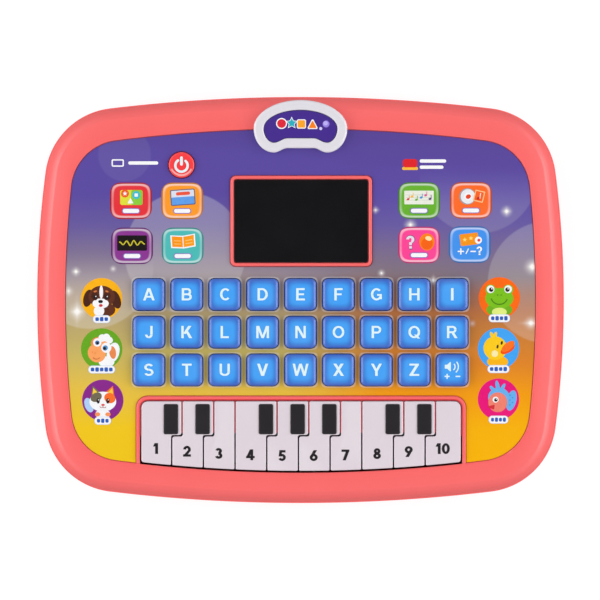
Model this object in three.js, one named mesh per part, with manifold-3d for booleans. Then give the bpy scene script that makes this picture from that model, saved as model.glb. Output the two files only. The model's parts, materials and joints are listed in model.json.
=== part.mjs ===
// Kids toy tablet: a bowed two-part casing that lies on its back, with a printed film, 27 spring
// caps, a ten-key piano, a display behind a dark window, a raised badge and a battery bay.
// Millimetres. +Z points up out of the key side, +Y towards the badge, +X to the right.
// The back lies on Z = 0, under the middle of the outline.

import * as THREE from "three";
import { mergeVertices } from "three/addons/utils/BufferGeometryUtils.js";
import Module from "manifold-3d";

const wasm = await Module();
wasm.setup();

// ---------------------------------------------------------------- driving dimensions

const GAP = 0.3; // between pieces that seat on or in each other
const FIT = 0.35; // round a moving cap, on each side

// Outlines: bowed rectangles whose four sides and four corners are arcs.
const CASE = { halfW: 120, halfH: 92.5, sideR: 447, endR: 726, cornerR: 33.5, shiftY: 0 };
const FRAME = { side: 13.3, end: 14.6 }; // width of the frame round the film
const FILM_BOW = { sideR: 499, endR: 658, cornerR: 22.9, shiftY: -0.3 };
const SIDE_STEPS = 4;
const END_STEPS = 6;
const CORNER_STEPS = 5;

// Heights of the front: the film's top, and what stands above it.
const PARTING_Z = 10;
const FILM_TOP = 22;
const FILM_THICK = 0.5;
const SKIN = 2.2; // wall of both shells
const FIELD_WALL = 2; // the flat wall under the film
const RIM = { rise: 0.4, w: 0.9 }; // crest of the frame round the film
const BEAD_RISE = 0.9; // beads round the screen and the piano
const BEVEL = { r: 10.8, aboveParting: 1.7, sweep: 60, steps: 4 }; // outer edge, up to the crease
const BACK_EDGE = { r: 8, steps: 3 }; // rounded edge of the back
const TONGUE = { w: 1.4, h: 1.5 }; // lip of the back shell that locates the front shell

// Letter caps: three rows of nine.
const KEY_NAMES = [..."abcdefghijklmnopqrstuvwxyz", "volume"];
const KEY_COLUMNS = 9;
const KEY = { size: 14.35, cornerR: 2.5, gapX: 2.88, gapY: 2.8, firstRowY: 2.5, rise: 3 };
const KEY_CROWN = { drop: 0.7, run: 0.9 }; // the slope round a cap's top
const KEY_FLANGE = { out: 0.9, thick: 1.5 };
const KEY_WALL = 1.4;
const HOLE_CORNER_R = 1.2; // of the square holes that the caps pass through
const KEY_ROOF = 2.4;
const KEY_TRAVEL = 1.5;
const KEY_REST = 0.4; // from a pressed cap down to its mat

// Piano: ten keys, most of them stepped round the black pad that they carry.
const PIANO = { x: 0.25, belowKeys: 6.425, pitch: 14.4, lastW: 16.8, cornerR: 3.6, rise: 1.4 };
const PIANO_KEYS = 10;
const PIANO_BEAD_W = 1.7;
const PIANO_KEY_GAP = 0.65;
const PIANO_END_GAP = 0.9;
const PIANO_STEP = { down: 16.3, shift: 4.7, r: 0.9 };
const PLAIN_SEAMS = [3, 7]; // seams after these keys run straight back
const PAD = { w: 6.7, h: 13.8, inset: 1.7, rearGap: 1.2, raise: 0.5, r: 0.7, sunk: 1 };
const PIANO_KEY_DEPTH = 5.2;
const PIANO_EDGE = 0.4; // chamfer round a key's top
const PIANO_TONGUE = { reach: 4.6, thick: 1.3, side: 0.5 };
const PIANO_ROOT = 2; // how far the tongue and the stop run under their key
const PIANO_STOP = { w: 4, reach: 2.4, thick: 1.5 };

// Screen, its bezel and the display behind it.
const SCREEN = { x: 0.3, y: 35.9, w: 60.9, h: 37.7, r: 1.2, thick: 1.8 };
const BEZEL = { w: 1.4, r: 2.2 };
const WINDOW_EDGE = 0.4; // chamfer round the window
const SCREEN_LEDGE = { w: 2, belowFilm: 2 };
const DISPLAY_BOARD = { thick: 1.2, round: 3, rightExtra: 5.2, sideOfPower: 9.9, overPower: 7.6 };
const GLASS_CLEAR = 0.5; // between the display's glass and the window's ledge

// Power button.
const POWER = { x: -54.1, y: 61.4, r: 6.05, rise: 1.6, wall: 1.2, flange: 1.1, flangeThick: 1 };
const POWER_CAP = { roof: 2, edge: 0.6, edgeDrop: 0.5 };
const POWER_SWITCH = { r: 3, h: 2 };

// Badge: an elliptical arch over two round lobes.
const BADGE = { halfW: 21.3, waistIn: 14.6, archH: 13, lobeX: 12, lobeH: 10.9, rise: 2.8 };
const BADGE_FLAT = { halfW: 5.9, rise: 2 };
const BADGE_RIM = 4.5;
const BADGE_EDGE = { in: 1.6, drop: 1.3, midIn: 0.6, midDrop: 0.4 }; // its rounded outer edge
const BADGE_LIP = { in: 0.4, drop: 0.5 }; // chamfer into the pocket
const BADGE_PLATE = { wall: 0.5, edge: 0.9, crown: 0.3 };
const BADGE_POCKET = 1.4;
const BADGE_PIN = { x: 9, overWaist: 2.1, r: 1.5, reach: 4.5 };

// Boards and mats.
const MAIN_BOARD = { thick: 1.6, side: 7.7, top: 1.3, foot: 1.6 };
const CHIP = { x: 20, y: -20, r: 7.4, topR: 4, shoulderR: 7, h: 1.6, shoulderH: 0.4, dome: 0.2 };
const CAPACITOR = { x: [36, 46], y: 2, r: 3.1, h: 7 };
const MAT = { thick: 1, out: 2 };
const LETTER_DOME = { r: 3.2, h: 1.2 }; // at their pressed height, inside the hollow caps
const PIANO_MAT = { top: 4.6, h: 24 };
const PIANO_DOME = { r: 2.6, h: 0.8, down: 18.6 };

// Battery bay, door and cells (AAA).
const CELL = { r: 5.25, length: 44.5, count: 3, nubR: 1.9, nubH: 0.8 };
const BAY = { x: 0, y: 36, clearEnd: 3.2, clearSide: 0.4, wall: 1.5 };
const DOOR = { side: 4.05, foot: 1.75, head: 6.55, thick: 2, z: 0.2, r: 2.5, slant: 1.15 };
const DOOR_FRAME = { w: 3, ledge: 1.8, bossWall: 1.6, bossRise: 1.2 };
const HOOK = { in: 12, w: 8, reach: 2.6, rise: 1.55, thick: 1.2, root: 2 };
const HOOK_CLEAR = { far: 1, near: 1.2, above: 3 }; // of the pockets that the hooks swing in
const DOOR_BOSS = { in: 3.9, r: 4.5, h: 1.8 };
const DOOR_SCREW = { headR: 2.5, headH: 1.1, shankR: 1.2, reach: 5.3, boreR: 1.75, bossWall: 2 };
const SCREW_EDGE = { in: 0.5, h: 0.4, tip: 1 };
const CELL_EDGE = 0.4; // chamfer at a cell's ends
const CONTACT = { thick: 0.4, springR: 2.4, springTipR: 1.2, halfH: 3.675, sunk: 0.2 };

// Case screws and their bosses.
const BOSS = { inX: 23, inY: 23.5, backR: 4.2, frontR: 3.8 };
const CASE_SCREW = { headR: 2.8, headH: 1.3, shankR: 1.2, seatZ: 5, top: 16 };

// Speaker behind its grille.
const SPEAKER = { x: -66, y: -30, r: 18, rimH: 1.5, coneR: 11, magnetR: 9, height: 8.6 };
const SPEAKER_CONE = { capR: 4, capZ: 2.6, tipZ: 2.2, edge: 2, edgeZ: 0.8, roll: 1.4, magnetH: 3.4 };
const SPEAKER_RING = { w: 1.4, h: 2.8 };
const GRILLE = { count: 7, slot: 2.2, pitch: 4.2, r: 15 };
const BOARD_POST = { in: 6, r: 3 };

// ---------------------------------------------------------------- places that follow

const FILM = { halfW: CASE.halfW - FRAME.side, halfH: CASE.halfH - FRAME.end, ...FILM_BOW };
const RIM_Z = FILM_TOP + RIM.rise;
const BEAD_Z = FILM_TOP + BEAD_RISE;
const BEVEL_Z = PARTING_Z + BEVEL.aboveParting;
const POCKET_FLOOR = FILM_TOP - FILM_THICK - GAP;
const FIELD_UNDER = POCKET_FLOOR - FIELD_WALL; // underside of the flat wall
const FLANGE_TOP = FIELD_UNDER - GAP;
const FRONT_BASE = PARTING_Z + GAP;
const LEDGE_Z = FILM_TOP - SCREEN_LEDGE.belowFilm;

const KEY_TOP = FILM_TOP + KEY.rise;
const PITCH_X = KEY.size + KEY.gapX;
const PITCH_Y = KEY.size + KEY.gapY;
const KEY_ROWS = KEY_NAMES.length / KEY_COLUMNS;
const KEYS_HALF_W = (KEY_COLUMNS * PITCH_X - KEY.gapX) / 2;
const KEYS_TOP = KEY.firstRowY + KEY.size / 2;
const KEYS_FOOT = KEYS_TOP - KEY_ROWS * PITCH_Y + KEY.gapY;

const PIANO_TOP = KEYS_FOOT - PIANO.belowKeys;
const PIANO_W = (PIANO_KEYS - 1) * PIANO.pitch + PIANO.lastW;
const PIANO_LEFT = PIANO.x - PIANO_W / 2;
const PIANO_RIGHT = PIANO.x + PIANO_W / 2;
const PIANO_KEY_TOP = FILM_TOP + PIANO.rise;
const PIANO_KEY_BOTTOM = PIANO_KEY_TOP - PIANO_KEY_DEPTH;

const BADGE_WAIST = CASE.halfH - BADGE.waistIn;
const BADGE_TOP = FILM_TOP + BADGE.rise;

const MAT_TOP = FLANGE_TOP - KEY_FLANGE.thick - KEY_TRAVEL - KEY_REST;
const MAT_BASE = MAT_TOP - MAT.thick;
const BOARD_TOP = MAT_BASE - GAP;
const BOARD_Z = BOARD_TOP - MAIN_BOARD.thick;
const BOARD_HALF_W = KEYS_HALF_W + MAIN_BOARD.side;

const DOOR_INNER = DOOR.z + DOOR.thick;
const DOOR_SEAT = DOOR_INNER + GAP;
const BAY_HALF_W = CELL.length / 2 + BAY.clearEnd;
const BAY_HALF_H = CELL.count * (CELL.r + BAY.clearSide / 2);
const CELL_Z = DOOR_SEAT + GAP + CELL.r;
const BAY_ROOF = CELL_Z + CELL.r + BAY.clearSide / 2;
const DOOR_HALF_W = BAY_HALF_W + BAY.wall + DOOR.side;
const DOOR_FOOT = BAY.y - BAY_HALF_H - BAY.wall - DOOR.foot;
const DOOR_HEAD = BAY.y + BAY_HALF_H + BAY.wall + DOOR.head;
const DOOR_BOSS_Y = DOOR_HEAD - DOOR_BOSS.in;
const DOOR_SCREW_TOP = DOOR_INNER + DOOR_SCREW.reach;
const DISPLAY_Z = BAY_ROOF + BAY.wall + GAP;
const RAD = Math.PI / 180;

const COLOURS = {
  coral: 0xfe7270,
  white: 0xf4f4f6,
  purple: 0x6a3fa0,
  blue: 0x2f8bf0,
  ivory: 0xece0e8,
  red: 0xff4040,
  dark: 0x14151a,
  film: 0xe0952c,
  board: 0x1f6b43,
  rubber: 0x8b8f96,
  steel: 0xb9bdc2,
  cell: 0x3b7a57,
  magnet: 0x2a2a2d,
};

// ---------------------------------------------------------------- outlines

/** Points along an arc from angle a to angle b in radians, without the last one. */
function arc(cx, cy, r, a, b, steps) {
  const points = [];
  for (let i = 0; i < steps; i++) {
    const t = a + ((b - a) * i) / steps;
    points.push(new THREE.Vector2(cx + r * Math.cos(t), cy + r * Math.sin(t)));
  }
  return points;
}

/** Where a bowed rectangle's corner arc is centred, and the angles where it meets the sides. */
function bowedCorner({ halfW, halfH, sideR, endR, cornerR }) {
  const sideX = halfW - sideR;
  const endY = halfH - endR;
  const apart = Math.hypot(sideX, endY);
  const fromSide = sideR - cornerR;
  const fromEnd = endR - cornerR;
  const along = (fromSide ** 2 - fromEnd ** 2 + apart ** 2) / (2 * apart);
  const across = Math.sqrt(fromSide ** 2 - along ** 2);
  const x = sideX + (-sideX * along - endY * across) / apart;
  const y = (endY * along - sideX * across) / apart;
  const sideAngle = Math.atan2(y, x - sideX);
  const endAngle = Math.atan2(y - endY, x);
  return { x, y, sideX, endY, sideAngle, endAngle };
}

/** A bowed rectangle, counter-clockwise, moved in by inset at right angles to its edge. */
function bowed(size, inset = 0) {
  const c = bowedCorner(size);
  const sideR = size.sideR - inset;
  const endR = size.endR - inset;
  const cornerR = size.cornerR - inset;
  const half = Math.PI;
  const points = [
    ...arc(c.sideX, 0, sideR, -c.sideAngle, c.sideAngle, SIDE_STEPS),
    ...arc(c.x, c.y, cornerR, c.sideAngle, c.endAngle, CORNER_STEPS),
    ...arc(0, c.endY, endR, c.endAngle, half - c.endAngle, END_STEPS),
    ...arc(-c.x, c.y, cornerR, half - c.endAngle, half - c.sideAngle, CORNER_STEPS),
    ...arc(-c.sideX, 0, sideR, half - c.sideAngle, half + c.sideAngle, SIDE_STEPS),
    ...arc(-c.x, -c.y, cornerR, half + c.sideAngle, half + c.endAngle, CORNER_STEPS),
    ...arc(0, -c.endY, endR, half + c.endAngle, 2 * half - c.endAngle, END_STEPS),
    ...arc(c.x, -c.y, cornerR, 2 * half - c.endAngle, 2 * half - c.sideAngle, CORNER_STEPS),
  ];
  return points.map((p) => p.add(new THREE.Vector2(0, size.shiftY)));
}

/** Height of the lower edge of the film's outline, moved out by outset, at a given x. */
function filmFoot(x, outset = 0) {
  const r = FILM.endR + outset;
  return FILM.shiftY + (FILM.endR - FILM.halfH) - Math.sqrt(r ** 2 - x ** 2);
}

/** A rectangle with round corners, counter-clockwise. */
function roundRect(cx, cy, w, h, r, steps = 2) {
  const x = w / 2 - r;
  const y = h / 2 - r;
  const quarter = Math.PI / 2;
  const centres = [[x, y], [-x, y], [-x, -y], [x, -y]];
  return centres.flatMap(([dx, dy], i) => [
    ...arc(cx + dx, cy + dy, r, i * quarter, (i + 1) * quarter, steps),
    new THREE.Vector2(cx + dx + r * Math.cos((i + 1) * quarter), cy + dy + r * Math.sin((i + 1) * quarter)),
  ]);
}

/** A rectangle between two corners, counter-clockwise. */
function rect(x0, y0, x1, y1) {
  return [[x0, y0], [x1, y0], [x1, y1], [x0, y1]].map(([x, y]) => new THREE.Vector2(x, y));
}

function circle(cx, cy, r, steps) {
  return arc(cx, cy, r, 0, 2 * Math.PI, steps);
}

/** The badge's outline moved in by inset: arch above the waist, two lobes and a flat below it. */
function badgeOutline(inset) {
  const { halfW, archH, lobeX, lobeH } = BADGE;
  const lobeFoot = BADGE_WAIST - lobeH + inset;
  const flatY = lobeFoot + BADGE_FLAT.rise;
  const ellipse = (cx, rx, ry, from, to, steps) => {
    const turns = Array.from({ length: steps + 1 }, (_, i) => (from + ((to - from) * i) / steps) * RAD);
    return turns.map((t) => new THREE.Vector2(cx + rx * Math.cos(t), BADGE_WAIST + ry * Math.sin(t)));
  };
  const arch = ellipse(0, halfW - inset, archH - inset, 0, 180, 12);
  const lobe = ellipse(-lobeX, halfW - lobeX - inset, lobeH - inset, 180, 270, 4).slice(1);
  const middle = (lobeX + BADGE_FLAT.halfW) / 2;
  const dip = [
    new THREE.Vector2(-middle, (lobeFoot + flatY) / 2),
    new THREE.Vector2(-BADGE_FLAT.halfW, flatY),
  ];
  const left = [...lobe, ...dip];
  const right = left.map((p) => new THREE.Vector2(-p.x, p.y)).reverse();
  return [...arch, ...left, ...right];
}

// ---------------------------------------------------------------- solids

/**
 * A closed body swept through rings of equal point count: the first and last rings are capped.
 * With counter-clockwise rings the body faces out when they run from inside its foot,
 * round its wall and up to its top.
 */
function loft(rings) {
  const count = rings[0].points.length;
  const position = rings.flatMap(({ points, z }) => points.flatMap((p) => [p.x, p.y, z]));
  const index = [];
  for (let k = 0; k + 1 < rings.length; k++) {
    for (let i = 0; i < count; i++) {
      const a = k * count + i;
      const b = k * count + ((i + 1) % count);
      index.push(a, b, b + count, a, b + count, a + count);
    }
  }
  const last = (rings.length - 1) * count;
  for (const [a, b, c] of THREE.ShapeUtils.triangulateShape(rings[0].points, [])) {
    index.push(a, c, b);
  }
  for (const [a, b, c] of THREE.ShapeUtils.triangulateShape(rings.at(-1).points, [])) {
    index.push(last + a, last + b, last + c);
  }
  const geometry = new THREE.BufferGeometry();
  geometry.setAttribute("position", new THREE.Float32BufferAttribute(position, 3));
  geometry.setIndex(index);
  return solid(geometry);
}

/** A manifold solid of a closed geometry. */
function solid(geometry) {
  const bare = geometry.clone();
  bare.deleteAttribute("normal");
  bare.deleteAttribute("uv");
  const merged = mergeVertices(bare, 1e-4);
  const vertProperties = new Float32Array(merged.attributes.position.array);
  const triVerts = new Uint32Array(merged.index.array);
  return new wasm.Manifold(new wasm.Mesh({ numProp: 3, vertProperties, triVerts }));
}

function prism(points, z0, z1) {
  return loft([{ points, z: z0 }, { points, z: z1 }]);
}

function post(x, y, r, z0, z1, steps = 12) {
  return prism(circle(x, y, r, steps), z0, z1);
}

/** A body turned about a Z axis through (x, y): profile holds [radius, z] from axis to axis. */
function turned(x, y, profile, steps = 12) {
  const points = profile.map(([r, z]) => new THREE.Vector2(r, z));
  const geometry = new THREE.LatheGeometry(points, steps);
  geometry.rotateX(Math.PI / 2);
  geometry.translate(x, y, 0);
  return solid(geometry);
}

const join = (first, ...others) => others.reduce((sum, other) => sum.add(other), first);
const cut = (first, ...others) => others.reduce((rest, other) => rest.subtract(other), first);

/** A named mesh of a solid, with its own material. */
function mesh(name, body, colour, roughness = 0.45, metalness = 0) {
  const { vertProperties, triVerts } = body.getMesh();
  const geometry = new THREE.BufferGeometry();
  geometry.setAttribute("position", new THREE.Float32BufferAttribute(vertProperties, 3));
  geometry.setIndex([...triVerts]);
  geometry.computeVertexNormals();
  const material = new THREE.MeshStandardMaterial({ color: colour, roughness, metalness });
  const made = new THREE.Mesh(geometry, material);
  made.name = name;
  return made;
}

// ---------------------------------------------------------------- casing

/** Rings of the bevel's arc, at a distance in from the outer face, from the side up. */
function bevelRings(depth, steps) {
  const r = BEVEL.r - depth;
  return Array.from({ length: steps + 1 }, (_, i) => {
    const t = ((BEVEL.sweep * i) / steps) * RAD;
    return { points: bowed(CASE, BEVEL.r - r * Math.cos(t)), z: BEVEL_Z + r * Math.sin(t) };
  });
}

/** Rings of the back's rounded edge, at a distance in from the outer face, from the foot up. */
function backRings(depth) {
  const r = BACK_EDGE.r - depth;
  return Array.from({ length: BACK_EDGE.steps + 1 }, (_, i) => {
    const t = (90 - (90 * i) / BACK_EDGE.steps) * RAD;
    return { points: bowed(CASE, BACK_EDGE.r - r * Math.cos(t)), z: BACK_EDGE.r - r * Math.sin(t) };
  });
}

/** Centres of the letter caps, row by row. */
function keyCentres() {
  return KEY_NAMES.map((name, i) => ({
    name,
    x: ((i % KEY_COLUMNS) - (KEY_COLUMNS - 1) / 2) * PITCH_X,
    y: KEY.firstRowY - Math.floor(i / KEY_COLUMNS) * PITCH_Y,
  }));
}

/** The piano opening, moved out by grow: square sides, round top corners, bowed foot. */
function pianoOutline(grow = 0) {
  const left = PIANO_LEFT - grow;
  const right = PIANO_RIGHT + grow;
  const top = PIANO_TOP + grow;
  const r = PIANO.cornerR + grow;
  const steps = 8;
  const foot = Array.from({ length: steps + 1 }, (_, i) => {
    const x = left + ((right - left) * i) / steps;
    return new THREE.Vector2(x, filmFoot(x, FIT));
  });
  return [
    ...foot,
    new THREE.Vector2(right, top - r),
    ...arc(right - r, top - r, r, 0, Math.PI / 2, 3).slice(1),
    new THREE.Vector2(right - r, top),
    ...arc(left + r, top - r, r, Math.PI / 2, Math.PI, 3),
    new THREE.Vector2(left, top - r),
  ];
}

/** Everything that passes through the flat wall, from z0 to z1. */
function fieldCuts(z0, z1) {
  const holes = keyCentres().map(({ x, y }) => {
    const size = KEY.size + 2 * FIT;
    return prism(roundRect(x, y, size, size, HOLE_CORNER_R, 1), z0, z1);
  });
  holes.push(post(POWER.x, POWER.y, POWER.r + FIT, z0, z1, 14));
  return holes;
}

function frontShell() {
  const inner = bevelRings(SKIN, 3).reverse();
  inner[0].z = FIELD_UNDER;
  const body = loft([
    ...inner,
    { points: bowed(CASE, SKIN), z: FRONT_BASE },
    { points: bowed(CASE), z: FRONT_BASE },
    ...bevelRings(0, BEVEL.steps),
    { points: bowed(FILM, -(FIT + RIM.w)), z: RIM_Z },
    { points: bowed(FILM, -FIT), z: RIM_Z },
    { points: bowed(FILM, -FIT), z: POCKET_FLOOR },
  ]);
  const overField = POCKET_FLOOR - FIELD_WALL / 2;
  const pocket = prism(bowed(FILM, -(FIT + RIM.w / 2)), overField, BEAD_Z);
  const pianoBead = prism(pianoOutline(PIANO_BEAD_W), overField, BEAD_Z).intersect(pocket);
  const { x, y, w, h } = SCREEN;
  const bezelGrow = 2 * BEZEL.w + 2 * GAP;
  const bezel = prism(roundRect(x, y, w + bezelGrow, h + bezelGrow, BEZEL.r), overField, BEAD_Z);
  const bosses = bossPlaces().map(([bx, by]) => post(bx, by, BOSS.frontR, FRONT_BASE, overField));
  const bores = bossPlaces().map(([bx, by]) =>
    post(bx, by, CASE_SCREW.shankR + GAP, FRONT_BASE - 1, CASE_SCREW.top + GAP),
  );
  const opening = roundRect(x, y, w + 2 * GAP, h + 2 * GAP, SCREEN.r + GAP);
  const ledgeIn = 2 * SCREEN_LEDGE.w;
  const pins = badgePins().map(([px, py]) =>
    post(px, py, BADGE_PIN.r + GAP, FIELD_UNDER - 1, BADGE_TOP),
  );
  return cut(
    join(body, pianoBead, bezel, ...bosses),
    prism(opening, LEDGE_Z, BEAD_Z + 1),
    prism(roundRect(x, y, w - ledgeIn, h - ledgeIn, SCREEN.r), FIELD_UNDER - 1, BEAD_Z),
    prism(pianoOutline(), FIELD_UNDER - 1, BEAD_Z + 1),
    ...fieldCuts(FIELD_UNDER - 1, RIM_Z),
    ...bores,
    ...pins,
  );
}

/** Where the four case screws stand. */
function bossPlaces() {
  const x = CASE.halfW - BOSS.inX;
  const y = CASE.halfH - BOSS.inY;
  return [[-x, -y], [x, -y], [-x, y], [x, y]];
}

function badgePins() {
  return [-1, 1].map((side) => [side * BADGE_PIN.x, BADGE_WAIST + BADGE_PIN.overWaist]);
}

function backShell() {
  const innerFloor = backRings(SKIN).reverse();
  const tongueIn = SKIN + GAP;
  const tray = loft([
    ...backRings(0),
    { points: bowed(CASE), z: PARTING_Z },
    { points: bowed(CASE, tongueIn), z: PARTING_Z },
    { points: bowed(CASE, tongueIn), z: PARTING_Z + TONGUE.h },
    { points: bowed(CASE, tongueIn + TONGUE.w), z: PARTING_Z + TONGUE.h },
    { points: bowed(CASE, tongueIn + TONGUE.w), z: BACK_EDGE.r },
    ...innerFloor.slice(1),
  ]);
  const under = SKIN / 2;
  const bosses = bossPlaces().map(([x, y]) => post(x, y, BOSS.backR, under, PARTING_Z));
  const wells = bossPlaces().flatMap(([x, y]) => [
    post(x, y, CASE_SCREW.headR + GAP, -1, CASE_SCREW.seatZ),
    post(x, y, CASE_SCREW.shankR + GAP, 0, PARTING_Z + 1),
  ]);
  const posts = boardPostPlaces().map(([x, y]) =>
    post(x, y, BOARD_POST.r, under, BOARD_Z - GAP, 8),
  );
  const ringIn = SPEAKER.r + GAP;
  const ring = cut(
    post(SPEAKER.x, SPEAKER.y, ringIn + SPEAKER_RING.w, under, SKIN + SPEAKER_RING.h, 20),
    post(SPEAKER.x, SPEAKER.y, ringIn, 0, SKIN + SPEAKER_RING.h + 1, 20),
  );
  return cut(
    join(tray, ...bosses, ...posts, ring, bayWalls()),
    ...wells,
    ...grilleSlots(),
    ...bayCuts(),
  );
}

/** The board's lower and upper edge. */
function boardEdges() {
  return [filmFoot(0) + MAIN_BOARD.foot, KEYS_TOP + MAIN_BOARD.top];
}

/** Posts under the main board's four corners. */
function boardPostPlaces() {
  const x = BOARD_HALF_W - BOARD_POST.in;
  const [foot, top] = boardEdges();
  return [foot + BOARD_POST.in, top - BOARD_POST.in].flatMap((y) => [[-x, y], [x, y]]);
}

/** Round-ended slots whose ends follow a circle. */
function grilleSlots() {
  return Array.from({ length: GRILLE.count }, (_, i) => {
    const off = (i - (GRILLE.count - 1) / 2) * GRILLE.pitch;
    const length = 2 * Math.sqrt(GRILLE.r ** 2 - off ** 2);
    const slot = roundRect(SPEAKER.x, SPEAKER.y + off, length, GRILLE.slot, GRILLE.slot / 2 - 0.01);
    return prism(slot, -1, SKIN + 1);
  });
}

/** The box over the cells, the thick frame that the door seats in and the screw's boss. */
function bayWalls() {
  const { x, y, wall } = BAY;
  const halfW = BAY_HALF_W + wall;
  const halfH = BAY_HALF_H + wall;
  const frameTop = DOOR_SEAT + DOOR_FRAME.ledge;
  const cupTop = frameTop + DOOR_FRAME.bossRise;
  const { boreR, bossWall } = DOOR_SCREW;
  const w = DOOR_FRAME.w;
  const frame = rect(x - DOOR_HALF_W - w, DOOR_FOOT - w, x + DOOR_HALF_W + w, DOOR_HEAD + w);
  return join(
    prism(rect(x - halfW, y - halfH, x + halfW, y + halfH), SKIN / 2, BAY_ROOF + wall),
    prism(frame, SKIN / 2, frameTop),
    post(x, DOOR_BOSS_Y, boreR + bossWall, SKIN, DOOR_SCREW_TOP + bossWall),
    post(x, DOOR_BOSS_Y, DOOR_BOSS.r + GAP + DOOR_FRAME.bossWall, SKIN, cupTop, 16),
  );
}

function bayCuts() {
  const { x, y } = BAY;
  const doorW = 2 * (DOOR_HALF_W + FIT);
  const doorH = DOOR_HEAD - DOOR_FOOT + 2 * FIT;
  const doorY = (DOOR_HEAD + DOOR_FOOT) / 2;
  const hooks = [-1, 1].map((side) => {
    const hx = x + side * (DOOR_HALF_W - HOOK.in);
    const half = HOOK.w / 2 + FIT;
    const far = DOOR_FOOT - FIT - HOOK.reach - HOOK_CLEAR.far;
    const near = DOOR_FOOT + HOOK.root + HOOK_CLEAR.near;
    const top = DOOR_INNER + HOOK.rise + HOOK_CLEAR.above;
    return prism(rect(hx - half, far, hx + half, near), DOOR_INNER, top);
  });
  return [
    prism(rect(x - BAY_HALF_W, y - BAY_HALF_H, x + BAY_HALF_W, y + BAY_HALF_H), 0, BAY_ROOF),
    prism(roundRect(x, doorY, doorW, doorH, DOOR.r + FIT), -1, DOOR_SEAT),
    post(x, DOOR_BOSS_Y, DOOR_BOSS.r + GAP, 0, DOOR_INNER + DOOR_BOSS.h + GAP, 16),
    post(x, DOOR_BOSS_Y, DOOR_SCREW.boreR, 0, DOOR_SCREW_TOP + 1),
    ...hooks,
  ];
}

// ---------------------------------------------------------------- front pieces

function overlay() {
  const base = FILM_TOP - FILM_THICK;
  const bezelGrow = 2 * (BEZEL.w + 2 * GAP);
  const { x, y, w, h } = SCREEN;
  const pins = badgePins().map(([px, py]) => post(px, py, BADGE_PIN.r + GAP, base - 1, FILM_TOP + 1));
  return cut(
    prism(bowed(FILM), base, FILM_TOP),
    prism(roundRect(x, y, w + bezelGrow, h + bezelGrow, BEZEL.r + GAP), base - 1, FILM_TOP + 1),
    prism(pianoOutline(PIANO_BEAD_W + GAP), base - 1, FILM_TOP + 1),
    ...fieldCuts(base - 1, FILM_TOP + 1),
    ...pins,
  );
}

function screenWindow() {
  const { x, y, w, h, r, thick } = SCREEN;
  const base = LEDGE_Z + GAP;
  const edge = WINDOW_EDGE;
  return loft([
    { points: roundRect(x, y, w, h, r), z: base },
    { points: roundRect(x, y, w, h, r), z: base + thick - edge },
    { points: roundRect(x, y, w - 2 * edge, h - 2 * edge, r - edge / 2), z: base + thick },
  ]);
}

/** The casing's outer form grown by GAP, to cut what lies on it. */
function casingEnvelope() {
  return loft([
    { points: bowed(CASE, -GAP), z: PARTING_Z },
    ...bevelRings(-GAP, BEVEL.steps),
    { points: bowed(FILM, -(FIT + RIM.w)), z: RIM_Z + GAP },
  ]);
}

function badgeFrame() {
  const shell = loft([
    { points: badgeOutline(0), z: PARTING_Z + SKIN },
    { points: badgeOutline(0), z: BADGE_TOP - BADGE_EDGE.drop },
    { points: badgeOutline(BADGE_EDGE.midIn), z: BADGE_TOP - BADGE_EDGE.midDrop },
    { points: badgeOutline(BADGE_EDGE.in), z: BADGE_TOP },
    { points: badgeOutline(BADGE_RIM - BADGE_LIP.in), z: BADGE_TOP },
    { points: badgeOutline(BADGE_RIM), z: BADGE_TOP - BADGE_LIP.drop },
    { points: badgeOutline(BADGE_RIM), z: BADGE_TOP - BADGE_POCKET },
  ]);
  const pinFoot = FILM_TOP - BADGE_PIN.reach;
  const pins = badgePins().map(([x, y]) => post(x, y, BADGE_PIN.r, pinFoot, RIM_Z + 2 * GAP));
  return join(cut(shell, casingEnvelope()), ...pins);
}

function badgeInsert() {
  const base = BADGE_TOP - BADGE_POCKET + GAP;
  const inset = BADGE_RIM + GAP;
  const { wall, edge, crown } = BADGE_PLATE;
  return loft([
    { points: badgeOutline(inset), z: base },
    { points: badgeOutline(inset), z: base + wall },
    { points: badgeOutline(inset + edge), z: base + wall + crown },
  ]);
}

/** A hollow square cap with a flange that the flat wall holds down. */
function letterKey(x, y) {
  const square = (half) => rect(x - half, y - half, x + half, y + half);
  const ring = (inset, z, r = KEY.cornerR) => {
    const size = KEY.size - 2 * inset;
    return { points: roundRect(x, y, size, size, r), z };
  };
  const half = KEY.size / 2;
  const flangeBase = FLANGE_TOP - KEY_FLANGE.thick;
  const { drop, run } = KEY_CROWN;
  const cap = loft([
    ring(0, FLANGE_TOP - KEY_FLANGE.thick / 2),
    ring(0, KEY_TOP - drop),
    ring(run, KEY_TOP, KEY.cornerR - run / 2),
  ]);
  const flange = prism(square(half + KEY_FLANGE.out), flangeBase, FLANGE_TOP);
  const hollow = prism(square(half - KEY_WALL), flangeBase - 1, KEY_TOP - KEY_ROOF);
  return cut(join(flange, cap), hollow);
}

function powerButton() {
  const { x, y, r, rise, wall, flange, flangeThick } = POWER;
  const { roof, edge, edgeDrop } = POWER_CAP;
  const top = FILM_TOP + rise;
  const base = FLANGE_TOP - flangeThick;
  const profile = [
    [0, top - roof],
    [r - wall, top - roof],
    [r - wall, base],
    [r + flange, base],
    [r + flange, FLANGE_TOP],
    [r, FLANGE_TOP],
    [r, top - edgeDrop],
    [r - edge, top],
    [0, top],
  ];
  return turned(x, y, profile, 14);
}

/** X of the seam after a key, counted from 0 at the opening's left side, below the step. */
function seamX(i) {
  return i === PIANO_KEYS ? PIANO_RIGHT : PIANO_LEFT + i * PIANO.pitch;
}

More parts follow.
